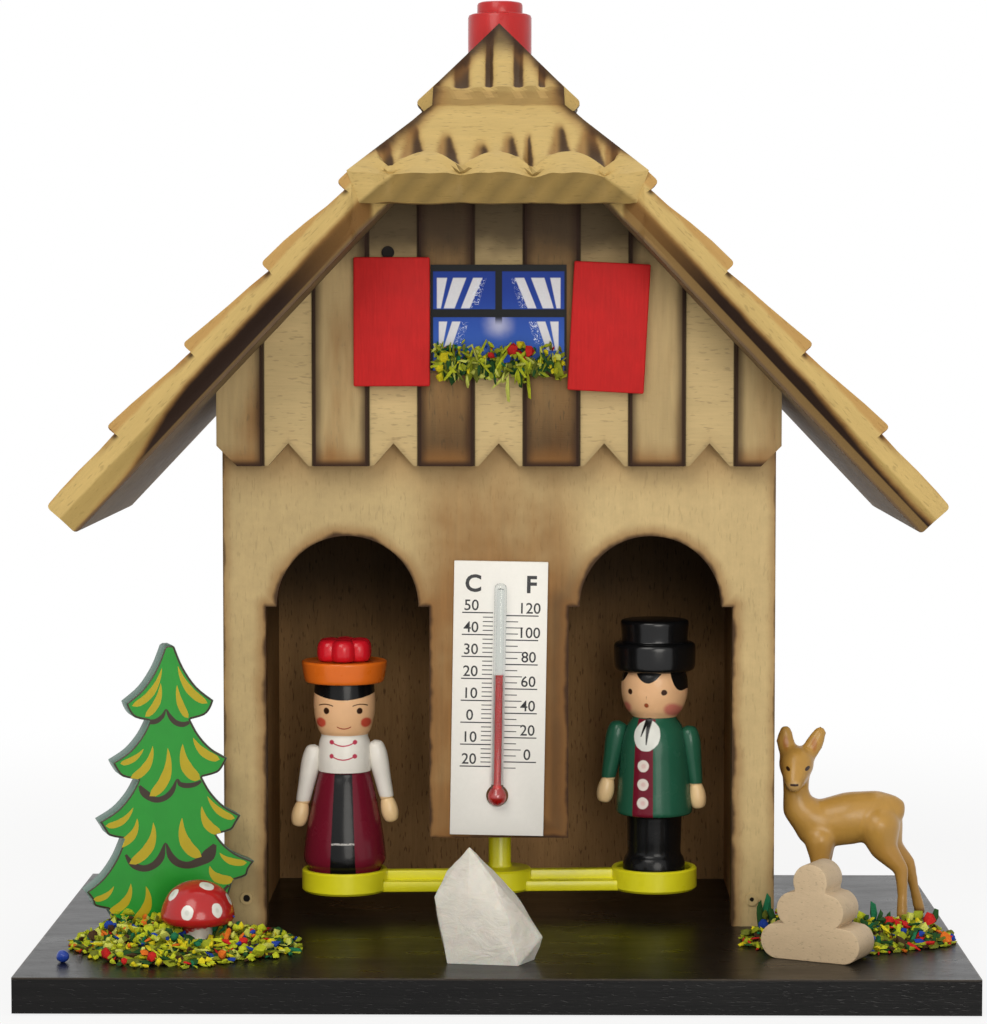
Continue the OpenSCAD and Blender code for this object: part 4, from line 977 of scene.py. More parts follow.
class ThermometerPieces(bpy.types.Operator):
    """Makes the card with its two scales, the glass and the red spirit"""

    bl_idname = "weather_house.thermometer"
    bl_label = "Thermometer"

    def execute(self, context):
        bm = cuboid((-CARD_X, 0, -CARD_Z), (CARD_X, CARD_T, CARD_Z), matrix=ON_CARD, bevel=0.12)
        card = show("thermometer_card_cut", bm, card_finish(), "house", "card", "thermometer_card")
        well = turned([(2.3, -1), (2.3, 1.2)], 40, matrix=ON_CARD @ put((0, 0, BULB_Z), 90, "X"))
        bored(card, well)
        self.scales()
        turn = ON_CARD @ put((0, -1.28, BULB_Z))
        tube = [(0, -1.95), (1.0, -1.68), (1.7, -0.95), (1.95, 0), (1.8, 0.75), (1.5, 1.25), (1.3, 1.8),
                (1.25, 2.6)]
        tube = smooth_line(tube) + [Vector((1.25, 20)), Vector((1.25, 43))]
        tube += smooth_line([(1.25, 43), (1.1, 43.7), (0.6, 44.15), (0, 44.25)])[1:]
        inner = smooth_line([(0.58, 43), (0.58, 20), (0.58, 2.4), (0.8, 1.7), (1.25, 0.9), (1.52, 0),
                             (1.3, -0.8), (0.7, -1.4), (0, -1.52)])
        bm = turned([tuple(v) for v in tube], 40, matrix=turn)
        turned([tuple(v) for v in [Vector((0, 43.2))] + inner], 40, bm, turn)
        show("thermometer_glass", bm, glass_finish(), "house", "glass", "thermometer_tube")
        core = smooth_line([(0, -1.5), (0.7, -1.37), (1.27, -0.8), (1.49, 0), (1.2, 0.9), (0.77, 1.7),
                            (0.55, 2.4)])
        core += [Vector((0.55, 12)), Vector((0.55, 25.2)), Vector((0.3, 25.0)), Vector((0, 24.9))]
        bm = turned([tuple(v) for v in core], 32, matrix=turn)
        show("thermometer_column", bm, spirit_finish(), "house", "spirit", "thermometer_spirit")
        return {"FINISHED"}

    def scales(self):
        """Two scales of lines and figures: one in steps of ten, one in steps of twenty."""
        bm = bmesh.new()
        lines, front = [], -0.03

        def height(celsius):
            return AT_TWENTY + PER_DEGREE * (celsius - 20)

        for step in range(-10, 26):
            long = step % 5 == 0
            lines.append((height(step * 2), -7.9 if long else -3.6, -1.5, 0.24 if long else 0.19))
        for step in range(-1, 25):
            reach = 7.9 if step % 4 == 0 else 3.7 + (step % 2 == 0)
            lines.append((height((step * 5 - 32) / 1.8), 1.0, reach, 0.24 if step % 4 == 0 else 0.19))
        for z, x0, x1, thick in lines:
            cuboid((x0, front, z - thick / 2), (x1, front + 0.02, z + thick / 2), bm, ON_CARD)
        show("thermometer_lines", bm, ink_finish(), "house", "card")
        words = [("C", -5.7, 23.7, 4.9), ("F", 6.3, 23.6, 4.9)]
        words += [(str(abs(t)), -6.0, height(t) + 1.45, 3.15) for t in range(-20, 51, 10)]
        words += [(str(f), 6.0, height((f - 32) / 1.8) + 1.45, 3.15) for f in range(0, 121, 20)]
        bm = bmesh.new()
        for word, x, z, size in words:
            curve = bpy.data.curves.new("figure", "FONT")
            curve.body = word
            curve.size = size
            curve.align_x = "CENTER"
            curve.align_y = "CENTER"
            curve.resolution_u = 4
            curve.offset = 0.13 if size > 4 else 0.025
            obj = linked("figure", curve)
            mesh = evaluated(obj)
            mesh.transform(ON_CARD @ put((x, front, z), 90, "X"))
            bm.from_mesh(mesh)
            bpy.data.objects.remove(obj)
            bpy.data.curves.remove(curve)
            bpy.data.meshes.remove(mesh)
        show("thermometer_figures", bm, ink_finish(), "house", "card")


WOMAN = middle_mm("woman_brim")
MAN = middle_mm("man_hat")
MAN_TURN = -17.0


class Figure(Paint):
    """Paint on a turned figure, seen from its own axis with X to its left and the front at -Y."""

    def __init__(self, name, axis, turn=0.0):
        super().__init__(name)
        self.x, self.y, self.z = self.split(self.local((axis.x, axis.y, 0), (0, 0, turn)))
        self.front = self.step(self.y, 0.5, -0.5)
        self.brush = self.cloud(0.9, detail=3) - 0.5

    def spot(self, x, z, radius, soft=0.12, tall=1.0):
        away = self.hypot(self.x - x, (self.z - z) / tall) + self.brush * 0.2
        return self.step(away, radius + soft, radius - soft) * self.front

    def arc(self, x, z, half, rise, thick):
        """A painted line that bends up or down towards its ends."""
        off = (self.x - x) / half
        away = abs(self.z - z - off * off * rise + self.brush * 0.06)
        return self.step(away, thick, thick * 0.4) * self.step(abs(off), 1.05, 0.95) * self.front

    def stroke(self, start, end, wide):
        """A painted line that tapers from start to end."""
        dx, dz = end[0] - start[0], end[1] - start[1]
        size = dx * dx + dz * dz
        t = self.least(self.most(((self.x - start[0]) * dx + (self.z - start[1]) * dz) / size, 0), 1)
        away = self.hypot(self.x - start[0] - t * dx, self.z - start[1] - t * dz)
        return self.step(away + t * wide * 0.75, wide * 1.2, wide * 0.7) * self.front

    def gloss(self, colour):
        worn = self.cloud(5, detail=3)
        colour = self.shade(colour, worn, 0.9, 1.1)
        return self.finish(colour, worn * 0.12 + 0.2, self.cloud(1.4, (1, 1, 0.5), 3), 0.02,
                           Coat_Weight=0.1, Coat_Roughness=0.06, Specular_IOR_Level=0.16)


def woman_paint():
    f, c = Figure("Woman's paint", WOMAN), colours()
    f.colour = f.mix(f.step(f.z + f.brush * 0.1, 45.35, 45.2), c.skin, c.white_cloth)
    f.coat(f.step(f.z + f.brush * 0.12, 37.5, 37.35), c.maroon)
    wide = (37.4 - f.z) * 0.042 + 1.85
    apron = f.step(abs(f.x) - wide + f.brush * 0.15, 0.12, -0.12) * f.step(f.z, 37.4, 37.2) * f.front
    f.coat(apron, c.black_paint)
    dots = f.step(f.cloud(0.5, detail=2), 0.36, 0.5)
    hem = f.step(abs(f.z - 22.8 + f.brush * 0.4), 0.28, 0.12) * apron * dots
    f.coat(hem * 0.75, rgb(214, 210, 206))
    for z in (43.2, 40.3):
        lacing = f.most(f.arc(0, z, 2.45, 0.75, 0.2), f.spot(-2.45, z + 0.75, 0.48),
                        f.spot(2.45, z + 0.75, 0.48))
        f.coat(lacing, rgb(186, 58, 82))
    for side in (-1, 1):
        f.coat(f.spot(side * 4.75, 48.1, 1.05, 0.25) * 0.9, rgb(204, 56, 44))
        f.coat(f.arc(side * 3.6, 52.1, 1.55, -0.35, 0.16), rgb(74, 44, 26))
        f.coat(f.spot(side * 3.5, 50.7, 0.6, 0.1, 1.15), rgb(52, 30, 18))
    f.coat(f.arc(0.2, 46.9, 1.5, 0.45, 0.17), rgb(168, 66, 50))
    edge = (f.x / 6.5) * (f.x / 6.5) * 1.2 + 53.0 - f.step(f.y, 0, 3) * 4.5
    f.coat(f.step(f.z - edge + f.brush * 0.15, -0.08, 0.08), c.black_paint)
    return f.gloss(f.colour)


def man_paint():
    f, c = Figure("Man's paint", MAN, MAN_TURN), colours()
    f.colour = f.mix(f.step(f.z + f.brush * 0.1, 48.75, 48.6), c.skin, c.green_cloth)
    centre = f.x + 0.45
    wide = (48 - f.z) * 0.02 + 1.9
    vest = f.step(abs(centre) - wide + f.brush * 0.12, 0.1, -0.1) * f.front * f.step(f.z, 48.6, 48.4)
    f.coat(vest, c.maroon)
    for z in (38.8, 34.9, 31.0):
        f.coat(f.spot(-0.45, z, 1.25), rgb(232, 222, 214))
        f.coat(f.spot(-0.35, z, 0.5, 0.3) * 0.35, rgb(206, 120, 120))
    bib = f.spot(0, 45.1, 2.85, 0.1, 1.12)
    f.coat(bib * f.step(f.z, 48.7, 48.55), rgb(226, 228, 222))
    tie = f.most(f.stroke((-0.2, 48.2), (-1.2, 45.0), 0.5), f.stroke((0.25, 48.2), (0.05, 43.4), 0.62))
    f.coat(tie, c.black_paint)
    f.coat(f.step(f.z + f.brush * 0.1, 27.95, 27.8), c.black_paint)
    for side, z, r in ((-1, 50.9, 1.15), (1, 50.5, 1.45)):
        f.coat(f.spot(side * 4.9, z, r, 0.5) * 0.75, rgb(196, 84, 88))
        f.coat(f.spot(side * 3.7, 54.4, 0.56, 0.1, 1.1), rgb(58, 32, 18))
    f.coat(f.spot(0, 51.6, 0.5, 0.14), rgb(150, 74, 44))
    f.coat(f.stroke((0.1, 53.5), (0.05, 52.9), 0.1) * 0.6, rgb(140, 90, 56))
    off = (f.x - 0.4) / 2.7
    lock = f.step(f.z - off * off * 2.0 - 56.3 + f.brush * 0.2, -0.1, 0.1)
    right, left = (f.x - 6.6) / 1.7, (f.x + 6.6) / 2.2
    sides = f.most(f.step(f.z - right * right * 3.0 - 54.6, -0.1, 0.1),
                   f.step(f.z - left * left * 2.0 - 56.2, -0.1, 0.1))
    nape = f.step(f.y, 2.0, 2.6) * f.step(f.z, 50.4, 50.7)
    f.coat(f.most(lock, sides, nape) * f.step(f.z, 48.8, 49), c.black_paint)
    return f.gloss(f.colour)


def sleeve_paint(name, sleeve, wrist):
    p = Paint(name)
    rough = p.cloud(0.8, detail=3)
    skin = p.step(p.z + (rough - 0.5) * 0.2, wrist + 0.1, wrist - 0.1)
    colour = p.shade(p.mix(skin, sleeve, colours().hands), p.cloud(5, detail=3), 0.9, 1.1)
    return p.finish(colour, 0.28, rough, 0.02, Coat_Weight=0.16, Coat_Roughness=0.1, Specular_IOR_Level=0.22)


class WomanPieces(bpy.types.Operator):
    """Turns and paints the woman for dry weather"""

    bl_idname = "weather_house.woman"
    bl_label = "Woman"

    def execute(self, context):
        c = colours()
        at = put((WOMAN.x, WOMAN.y, 0))
        low, brim = box_mm("woman_body")[0].z, box_mm("woman_brim")
        body = [(7.0, low), (7.6, low + 0.6), (7.6, 16.5), (8.65, 18.4), (8.5, 21.5), (7.9, 25.6),
                (7.0, 30.2), (6.0, 34.8), (5.45, 36.9), (5.55, 37.6), (5.75, 40.2), (5.4, 43.4), (4.95, 45.0),
                (5.6, 46.2), (6.35, 49.0), (6.55, 52.0), (6.4, 54.6), (6.2, brim[0].z - 0.05)]
        show("woman_turned", turned(smooth_line(body, 6), 72, matrix=at), woman_paint(), "arm", "skirt_paint",
             "woman_body")
        z = brim[0].z
        rim = [(7.6, z), (8.2, z + 0.2), (8.5, z + 0.9), (8.8, z + 2.6), (9.02, z + 4.0), (8.95, z + 4.5),
               (8.6, z + 4.68), (8.2, z + 4.5)]
        show("woman_brim_turned", turned(smooth_line(rim, 4), 72, matrix=at),
             lacquer("Brim orange", c.orange_paint, 0.3), "arm", "brim_paint", "woman_brim")
        ball = smooth_line([(0, 0), (1.9, 0.02), (2.5, 0.7), (2.62, 2.2), (2.45, 3.5), (1.75, 4.4),
                            (0, 4.72)], 4)
        bm = bmesh.new()
        top = box_mm("woman_pompoms")[0].z - 0.1
        for i in range(6):
            turned(ball, 28, bm, at @ put((0, 0, 0), 60 * i + 30) @ put((3.5, 0, top)))
        turned(ball, 28, bm, at @ put((0, 0, top)))
        show("woman_pompoms_round", bm, lacquer("Pompom red", rgb(208, 26, 40), 0.26), "arm", "pompom_paint",
             "woman_pompoms")
        for side, node, rise in ((-1, "woman_left_arm", 0), (1, "woman_right_arm", 1.0)):
            bm = limb(at, side, 10.07, 25.3 + rise, 12, 1.2)
            show(node + "_turned", bm, sleeve_paint(node + " paint", c.white_cloth, 30.9 + rise), "arm",
                 "white_paint", node)
        return {"FINISHED"}


def limb(at, side, hand_x, hand_z, lean, full):
    """One arm, an egg for the hand and a sleeve that swells to the shoulder."""
    profile = smooth_line([(0, 0), (1.2, 0.4), (1.75, 1.7), (1.8, 3.2), (1.5, 4.7), (1.25, 5.4), (1.5, 5.7),
                           (1.4 + 0.3 * full, 9.5), (1.35 + 0.6 * full, 13.5), (1.25 + 0.6 * full, 15.8),
                           (0.95 + 0.4 * full, 17.4), (0, 18.0)], 5)
    lay = at @ put((side * hand_x, 0, hand_z), -side * lean, "Y")
    return turned(profile, 32, matrix=lay)


class ManPieces(bpy.types.Operator):
    """Turns and paints the man for wet weather"""

    bl_idname = "weather_house.man"
    bl_label = "Man"

    def execute(self, context):
        c = colours()
        at = put((MAN.x, MAN.y, 0))
        low, hat = box_mm("man_body")[0].z, box_mm("man_hat")
        body = [(5.9, low), (6.6, low + 0.7), (6.65, 16.8), (6.3, 18.4), (5.7, 19.6), (5.75, 22.5),
                (5.85, 26.6), (6.1, 27.75), (7.5, 27.85), (8.05, 28.3), (8.05, 29.5), (7.75, 33.5),
                (7.4, 38.5), (7.0, 43.0), (6.1, 46.2), (4.75, 48.3), (4.9, 48.9), (6.1, 50.4), (6.95, 53.0),
                (7.1, 55.4), (6.9, 57.2), (6.6, hat[0].z - 0.05)]
        show("man_turned", turned(smooth_line(body, 6), 72, matrix=at), man_paint(), "arm", "jacket_paint",
             "man_body")
        z, top = hat[0].z, hat[1].z
        brim = [(7.0, z), (8.1, z + 0.35), (8.6, z + 1.3), (8.7, z + 4.6), (8.55, z + 5.7), (8.0, z + 6.15),
                (7.2, z + 6.3), (7.0, z + 6.8), (7.1, z + 8.6), (7.25, top - 0.8), (7.0, top - 0.2),
                (6.4, top)]
        show("man_hat_turned", turned(smooth_line(brim, 4), 72, matrix=at),
             lacquer("Hat black", c.black_paint, 0.22), "arm", "hat_paint", "man_hat")
        swing = at @ put((0, 0, 0), -6)
        for side, node, rise, reach, lean in ((-1, "man_left_arm", 1.0, 10.9, 11),
                                              (1, "man_right_arm", 0, 9.6, 8)):
            bm = limb(swing, side, reach, 28.9 + rise, lean, 1.5)
            show(node + "_turned", bm, sleeve_paint(node + " paint", c.green_cloth, 34.4 + rise), "arm",
                 "jacket_paint", node)
        return {"FINISHED"}


# Brush strokes on the tree by start, bend, end and width, and the lines under its tiers by X, Z and width.
TREE_STROKES = (
    ((-1.6, 55.1), (-3.0, 48.9), (-7.8, 47.6), 1.6), ((-1.9, 52.0), (-1.8, 47.7), (-5.1, 45.3), 1.6),
    ((1.7, 55.4), (3.1, 49.8), (7.8, 47.6), 1.7), ((1.5, 51.5), (1.6, 47.5), (3.8, 44.7), 1.5),
    ((-5.5, 38.7), (-7.2, 36.2), (-10.3, 35.9), 1.3), ((-3.6, 39.2), (-3.9, 34.2), (-8.3, 32.7), 1.9),
    ((-0.5, 38.7), (0.5, 31.8), (-4.3, 29.0), 2.3), ((2.6, 39.4), (2.2, 33.9), (6.2, 32.0), 2.5),
    ((4.8, 40.6), (6.2, 36.9), (10.3, 35.9), 1.8), ((-7.7, 26.8), (-9.5, 23.1), (-13.4, 23.3), 1.5),
    ((-6.9, 24.5), (-6.8, 20.0), (-12.0, 19.0), 1.9), ((-3.6, 23.5), (-2.8, 17.8), (-8.6, 15.3), 2.3),
    ((2.4, 24.2), (1.6, 18.3), (6.4, 16.0), 2.5), ((6.5, 26.4), (6.8, 21.8), (10.5, 20.8), 2.0),
    ((7.7, 28.4), (9.6, 24.6), (13.4, 23.6), 1.5), ((-11.8, 10.8), (-13.2, 8.2), (-16.0, 8.4), 1.3),
    ((-8.3, 11.2), (-8.3, 6.6), (-13.0, 5.6), 1.9), ((-5.2, 10.5), (-3.4, 5.6), (-8.3, 3.2), 2.2),
    ((1.7, 10.7), (1.3, 6.8), (4.8, 4.6), 2.2), ((8.1, 14.0), (8.5, 10.6), (13.2, 10.9), 2.1),
    ((10.2, 16.6), (11.8, 14.2), (15.9, 14.3), 1.5))
TREE_LINES = (
    ((-5.4, 44.6, 0.4), (-4.4, 44.2, 0.7), (-2.8, 44.3, 0.8), (-1.5, 45.3, 0.6), (-0.8, 46.6, 0.2),
     (-0.1, 45.3, 0.6), (1.1, 43.9, 0.8), (2.7, 43.4, 0.8), (4.0, 43.8, 0.5)),
    ((-6.4, 31.2, 0.4), (-5.3, 29.6, 1.2), (-3.2, 28.2, 0.9), (-1.2, 28.5, 0.9), (0.4, 29.9, 0.8),
     (1.4, 32.2, 0.2), (2.0, 31.2, 0.7), (3.5, 30.8, 0.8), (5.2, 31.0, 0.7), (6.4, 31.6, 0.4)),
    ((-9.3, 17.2, 0.4), (-8.0, 15.2, 0.9), (-5.8, 14.2, 1.0), (-3.6, 14.7, 1.1), (-2.0, 16.4, 1.1),
     (-1.1, 19.2, 0.2), (-0.1, 16.6, 1.0), (1.4, 15.0, 1.1), (3.7, 14.4, 1.1), (6.3, 15.2, 1.5),
     (8.0, 16.4, 2.0), (9.2, 18.4, 0.6)),
    ((-15.0, 6.4, 0.3), (-12.6, 4.6, 0.8), (-10.6, 3.6, 0.7), (-8.2, 2.2, 0.8), (-5.4, 1.6, 0.9),
     (-3.5, 2.4, 0.8), (-1.7, 1.4, 0.9), (2.6, 1.4, 0.9), (6.0, 3.4, 0.8), (9.0, 6.8, 0.7), (12.0, 9.8, 0.4)))


def ribbon(line):
    """The outline of a brush stroke through points of X, Z and width."""
    left, right = [], []
    for i, (x, z, wide) in enumerate(line):
        before, after = line[max(i - 1, 0)], line[min(i + 1, len(line) - 1)]
        way = Vector((after[0] - before[0], after[1] - before[1])).normalized()
        side = Vector((-way.y, way.x)) * wide / 2
        left.append((x + side.x, z + side.y))
        right.append((x - side.x, z - side.y))
    return left + right[::-1]


def crescent(start, bend, end, wide):
    """A stroke that swells from a point and ends round."""
    line = []
    for i in range(13):
        t = i / 12
        swell = min(t / 0.5, 1) ** 0.75 * math.sqrt(max(1 - max((t - 0.72) / 0.28, 0) ** 2, 0))
        x, z = ((1 - t) ** 2 * start[k] + 2 * t * (1 - t) * bend[k] + t * t * end[k] for k in (0, 1))
        line.append((x, z, 0.05 + wide * 0.9 * swell))
    return ribbon(line)


def inset(loop, amount):
    """The same closed outline, drawn in by an amount."""
    out = []
    for i, here in enumerate(loop):
        before, after = loop[i - 1], loop[(i + 1) % len(loop)]
        way = ((here - before).normalized() + (after - here).normalized()).normalized()
        out.append(here + Vector((-way.y, way.x)) * amount)
    return out


def around(points):
    """A closed outline, run anticlockwise."""
    loop = [Vector(p) for p in points]
    turn = sum(a.cross(b) for a, b in zip(loop, loop[1:] + loop[:1]))
    return loop if turn > 0 else loop[::-1]


def painted_face(bm, rim, shapes):
    """Divides the foremost face along painted outlines, a later one lying over an earlier one."""
    face = max((f for f in bm.faces if f.normal.y < -0.99), key=lambda f: f.calc_area())
    depth = face.verts[0].co.y
    loop = around([(v.co.x, v.co.z) for v in face.verts])
    points, faces, paint = [], [], []
    for outline, number in [(loop, rim[1]), (inset(loop, rim[0]), rim[2])] + shapes:
        faces.append(list(range(len(points), len(points) + len(outline))))
        points += around(outline)
        paint.append(number)
    bmesh.ops.delete(bm, geom=[face], context="FACES_ONLY")
    spots, _, cells, _, _, origin = geometry.delaunay_2d_cdt(points, [], faces, 1, 1e-5)
    verts = [bm.verts.new((p.x, depth, p.y)) for p in spots]
    for cell, of in zip(cells, origin):
        if 0 in of:
            bm.faces.new([verts[i] for i in cell]).material_index = paint[max(of)]
    bmesh.ops.remove_doubles(bm, verts=bm.verts, dist=1e-4)


def tree_outline():
    """Four flared tiers, the lowest a little higher on its right."""
    tip = [9.1 + 2.8 * i for i in range(4)]
    waist = [tip[i] * (0.47 + 0.09 * i) for i in range(4)]
    sides = []
    for side in (1, -1):
        top = [48.14 - 11.96 * i + (side * 2.3 if i == 3 else 0) for i in range(4)]
        line, w, wh = [(0.5, 59.75)], 1.05, 59.4
        for i, t in enumerate(tip):
            drop = wh - top[i]
            bend = [(w, wh), (w + 0.22 * (t - w), wh - 0.38 * drop), (w + 0.56 * (t - w), wh - 0.74 * drop),
                    (t, top[i])]
            scoop = [(t, top[i]), (0.93 * t, top[i] - 1.6), (0.6 * t + 0.4 * waist[i], top[i] - 3.0),
                     (waist[i] + 0.1, top[i] - 3.75)]
            line += [tuple(v) for v in smooth_line(bend, 4) + smooth_line(scoop, 3)[1:]]
            w, wh = waist[i], top[i] - 3.83
        sides.append(line + [(w, wh), (9.6, 0.05)])
    return sides[0] + [(-x, z) for x, z in reversed(sides[1])]


TREE_AT, TREE_FOOT, TREE_TURN, TREE_T = (-67.7, -13.5), (-66.9, -13.5), 18, 5.0


class TreePiece(bpy.types.Operator):
    """Saws the flat fir tree and paints its branches"""

    bl_idname = "weather_house.tree"
    bl_label = "Fir tree"

    def execute(self, context):
        c = colours()
        lay = put((*TREE_AT, GROUND + 0.02), TREE_TURN)
        bm = slab(tree_outline(), TREE_T, matrix=put((0, -TREE_T / 2, 0)), bevel=0.22)
        shapes = [(ribbon([(v.x, v.y, v.z * 1.35) for v in smooth_line(line, 4)]), 2) for line in TREE_LINES]
        shapes += [(crescent(*s), 3) for s in TREE_STROKES]
        painted_face(bm, (0.36, 2, 1), shapes)
        bmesh.ops.transform(bm, matrix=lay, verts=bm.verts)
        paints = [lacquer("Tree edge", rgb(88, 122, 108), 0.5, 0.25),
                  lacquer("Tree green", c.tree_green, 0.34), lacquer("Tree brown", rgb(54, 42, 30), 0.36),
                  lacquer("Tree ochre", c.tree_yellow, 0.36)]
        show("fir_tree_painted", bm, paints, "house", "tree_paint", "fir_tree")
        return {"FINISHED"}


TOADSTOOL = middle_mm("toadstool_cap")
STEM_R = 3.4


def cap_paint():
    p, c = Paint("Cap paint"), colours()
    low = box_mm("toadstool_cap")[0].z
    x, y, z = p.split(p.local((TOADSTOOL.x, TOADSTOOL.y, low)))
    brush = (p.cloud(1.1, detail=3) - 0.5) * 0.35
    p.colour = p.shade(c.red_paint, p.cloud(4, detail=3), 0.88, 1.1)
    for at, radius in (((-1.4, -7.1, 3.3), 1.25), ((4.5, -5.5, 3.5), 1.2), ((-4.6, -3.2, 6.3), 1.25),
                       ((2.1, -2.4, 7.9), 1.5), ((6.5, -0.6, 5.0), 1.1), ((-7.0, 0.6, 3.4), 1.2),
                       ((-2.2, 1.6, 8.0), 1.2), ((0.6, 6.4, 4.8), 1.4), ((5.0, 5.0, 3.6), 1.2),
                       ((-4.6, 5.2, 3.8), 1.2)):
        away = p.hypot(p.hypot(x - at[0], y - at[1]), (z - at[2]) * 0.78) + brush
        p.coat(p.step(away, radius + 0.08, radius - 0.08), rgb(232, 232, 226))
        p.coat(p.step(away, radius * 0.5, radius * 0.2) * 0.3, rgb(150, 168, 150))
    p.coat(p.step(z, 0.12, 0.02), rgb(214, 190, 180))
    return p.finish(p.colour, 0.2, p.cloud(1.6, detail=3), 0.03, Coat_Weight=0.25, Coat_Roughness=0.08,
                    Specular_IOR_Level=0.3)


def stem_paint():
    p = Paint("Stem paint")
    x, _, z = p.split(p.local((TOADSTOOL.x, TOADSTOOL.y, GROUND)))
    drip = p.cloud(1.6, (1, 1, 0.35), 3)
    run = p.step(z - 4.4 + drip * 2.6 + p.step(x, 0, -2) * 0.9, 0.35, 0.75)
    colour = p.mix(run, p.shade(rgb(228, 222, 212), p.cloud(1.2, detail=3), 0.86, 1.06), rgb(190, 32, 34))
    return p.finish(colour, 0.4, drip, 0.05)


class ToadstoolPieces(bpy.types.Operator):
    """Turns and paints the toadstool"""

    bl_idname = "weather_house.toadstool"
    bl_label = "Toadstool"

    def execute(self, context):
        at = put((TOADSTOOL.x, TOADSTOOL.y, 0))
        low, high = (corner.z for corner in box_mm("toadstool_cap"))
        cap = [(0, low), (5.6, low), (6.9, low + 0.35), (7.45, low + 1.4), (7.35, low + 2.6),
               (6.9, low + 4.0), (6.1, low + 5.6), (5.0, low + 6.9), (3.4, low + 7.9), (1.6, low + 8.45),
               (0, high)]
        show("toadstool_cap_turned", turned(smooth_line(cap, 4), 64, matrix=at), cap_paint(), "house",
             "cap_paint", "toadstool_cap")
        stem = [(0, GROUND), (3.3, GROUND), (3.45, 7.4), (3.1, 8.6), (2.95, 10.4), (2.95, low - 0.03),
                (0, low - 0.03)]
        show("toadstool_stem_turned", turned(stem, 40, matrix=at), stem_paint(), "house", "white_paint",
             "toadstool_stem")
        return {"FINISHED"}


def bush_outline(wide, tall, lobe):
    """Half widths of stacked round lobes, from the foot to the top."""
    side = []
    for i in range(97):
        z = tall * (0.5 - 0.5 * math.cos(math.pi * i / 96))
        half = 0.05
        for x, middle in ((wide / 2 - lobe, lobe), (lobe * 0.98, tall * 0.52), (0, tall - lobe)):
            reach = lobe ** 2 - (z - middle) ** 2
            half = max(half, x + math.sqrt(reach)) if reach > 0 else half
        if z < lobe:
            half = max(half, wide / 2 - lobe + math.sqrt(max(lobe ** 2 - (lobe - z) ** 2, 0)))
        side.append((max(half, lobe * 0.92 if z < tall - lobe else 0.05), z))
    return side + [(-x, z) for x, z in reversed(side)]


BUSH_AT, BUSH_TURN = (63.3, -37), -27
BUSH_WIDE, BUSH_TALL, BUSH_LOBE, BUSH_T = 20.8, 19.2, 3.55, 8.4


class BushPiece(bpy.types.Operator):
    """Saws the cloud-shaped bush from bare wood"""

    bl_idname = "weather_house.bush"
    bl_label = "Bush block"

    def execute(self, context):
        lay = put((*BUSH_AT, GROUND), BUSH_TURN)
        outline = bush_outline(BUSH_WIDE, BUSH_TALL, BUSH_LOBE)
        bm = slab(outline, BUSH_T, matrix=lay @ put((0, -BUSH_T / 2, 0)), bevel=0.45, segments=3)
        wood = plain_wood("Bare bush wood", colours().block_wood, "X", 0.1)
        show("bush_block_sawn", bm, wood, "house", "block_wood", "bush_block", sharp=40)
        return {"FINISHED"}


# The stone's place and width, and its corners in parts of its width and height.
STONE_X, STONE_Y, STONE_WIDE = -1.75, -39.95, 22.8
STONE_POINTS = ((-0.35, -0.16, 0), (0.26, -0.26, 0), (0.4, 0.02, 0), (0.2, 0.27, 0), (-0.3, 0.25, 0),
                (-0.43, 0.02, 0.3), (-0.46, -0.06, 0.56), (-0.36, -0.02, 0.78), (0.22, -0.24, 0.2),
                (0.47, 0.06, 0.19), (0.37, 0.12, 0.33), (0.23, 0.13, 0.57), (0.06, -0.14, 0.72),
                (-0.17, -0.2, 0.62), (-0.16, -0.1, 1), (-0.12, 0.1, 0.92), (-0.36, 0.14, 0.6),
                (0.16, -0.22, 0.45))


def hulled(bm):
    """Keeps only the skin round a mesh's points."""
    made = bmesh.ops.convex_hull(bm, input=bm.verts[:])
    loose = set(made["geom_interior"] + made["geom_unused"])
    bmesh.ops.delete(bm, geom=[v for v in bm.verts if v in loose], context="VERTS")


def quartz():
    p = Paint("Quartz")
    broad, fine = p.cloud(5, (1, 1, 0.6), 5, 0.65, 1.5), p.cloud(0.9, detail=6, rough=0.7)
    p.colour = p.shade(colours().quartz, broad, 0.8, 1.12)
    stain = p.step(p.cloud(3.2, (1, 1, 0.4), 5, 0.7, 1.0), 0.56, 0.72)
    p.coat(stain * 0.35, rgb(166, 160, 146))
    # Painted light: facets that face +X are lightened.
    p.tone(p.step(p.facing("X"), 0.3, 0.75), 1, 1.2)
    return p.finish(p.colour, 0.42, broad * 2.0 + fine * 0.6, 0.12, Subsurface_Weight=0.25,
                    Subsurface_Scale=0.002)


class StonePiece(bpy.types.Operator):
    """Breaks the white quartz stone"""

    bl_idname = "weather_house.stone"
    bl_label = "Quartz stone"

    def execute(self, context):
        low, high = box_mm("quartz_stone")
        bm = bmesh.new()
        tall = high.z - low.z - 0.3
        for x, y, z in STONE_POINTS:
            bm.verts.new((STONE_X + x * STONE_WIDE, STONE_Y + y * STONE_WIDE, low.z + z * tall))
        hulled(bm)
        rounded(bm, bm.edges[:], 0.35, 1)
        bmesh.ops.triangulate(bm, faces=bm.faces[:])
        for _ in range(3):
            bmesh.ops.subdivide_edges(bm, edges=[e for e in bm.edges if e.calc_length() > 0.9], cuts=1,
                                      use_grid_fill=True)
            bmesh.ops.triangulate(bm, faces=bm.faces[:])
        bm.normal_update()
        push = {v: v.normal.copy() for v in bm.verts}
        for vert, normal in push.items():
            rise = fade(vert.co.z, low.z, low.z + 1.5)
            rough = noise.fractal(vert.co / 4.5, 0.8, 2.0, 4)
            vert.co += normal * rise * 0.2 * rough
            vert.co.z = max(vert.co.z, low.z)
        show("quartz_stone_broken", bm, quartz(), "house", "quartz", "quartz_stone", sharp=24)
        return {"FINISHED"}


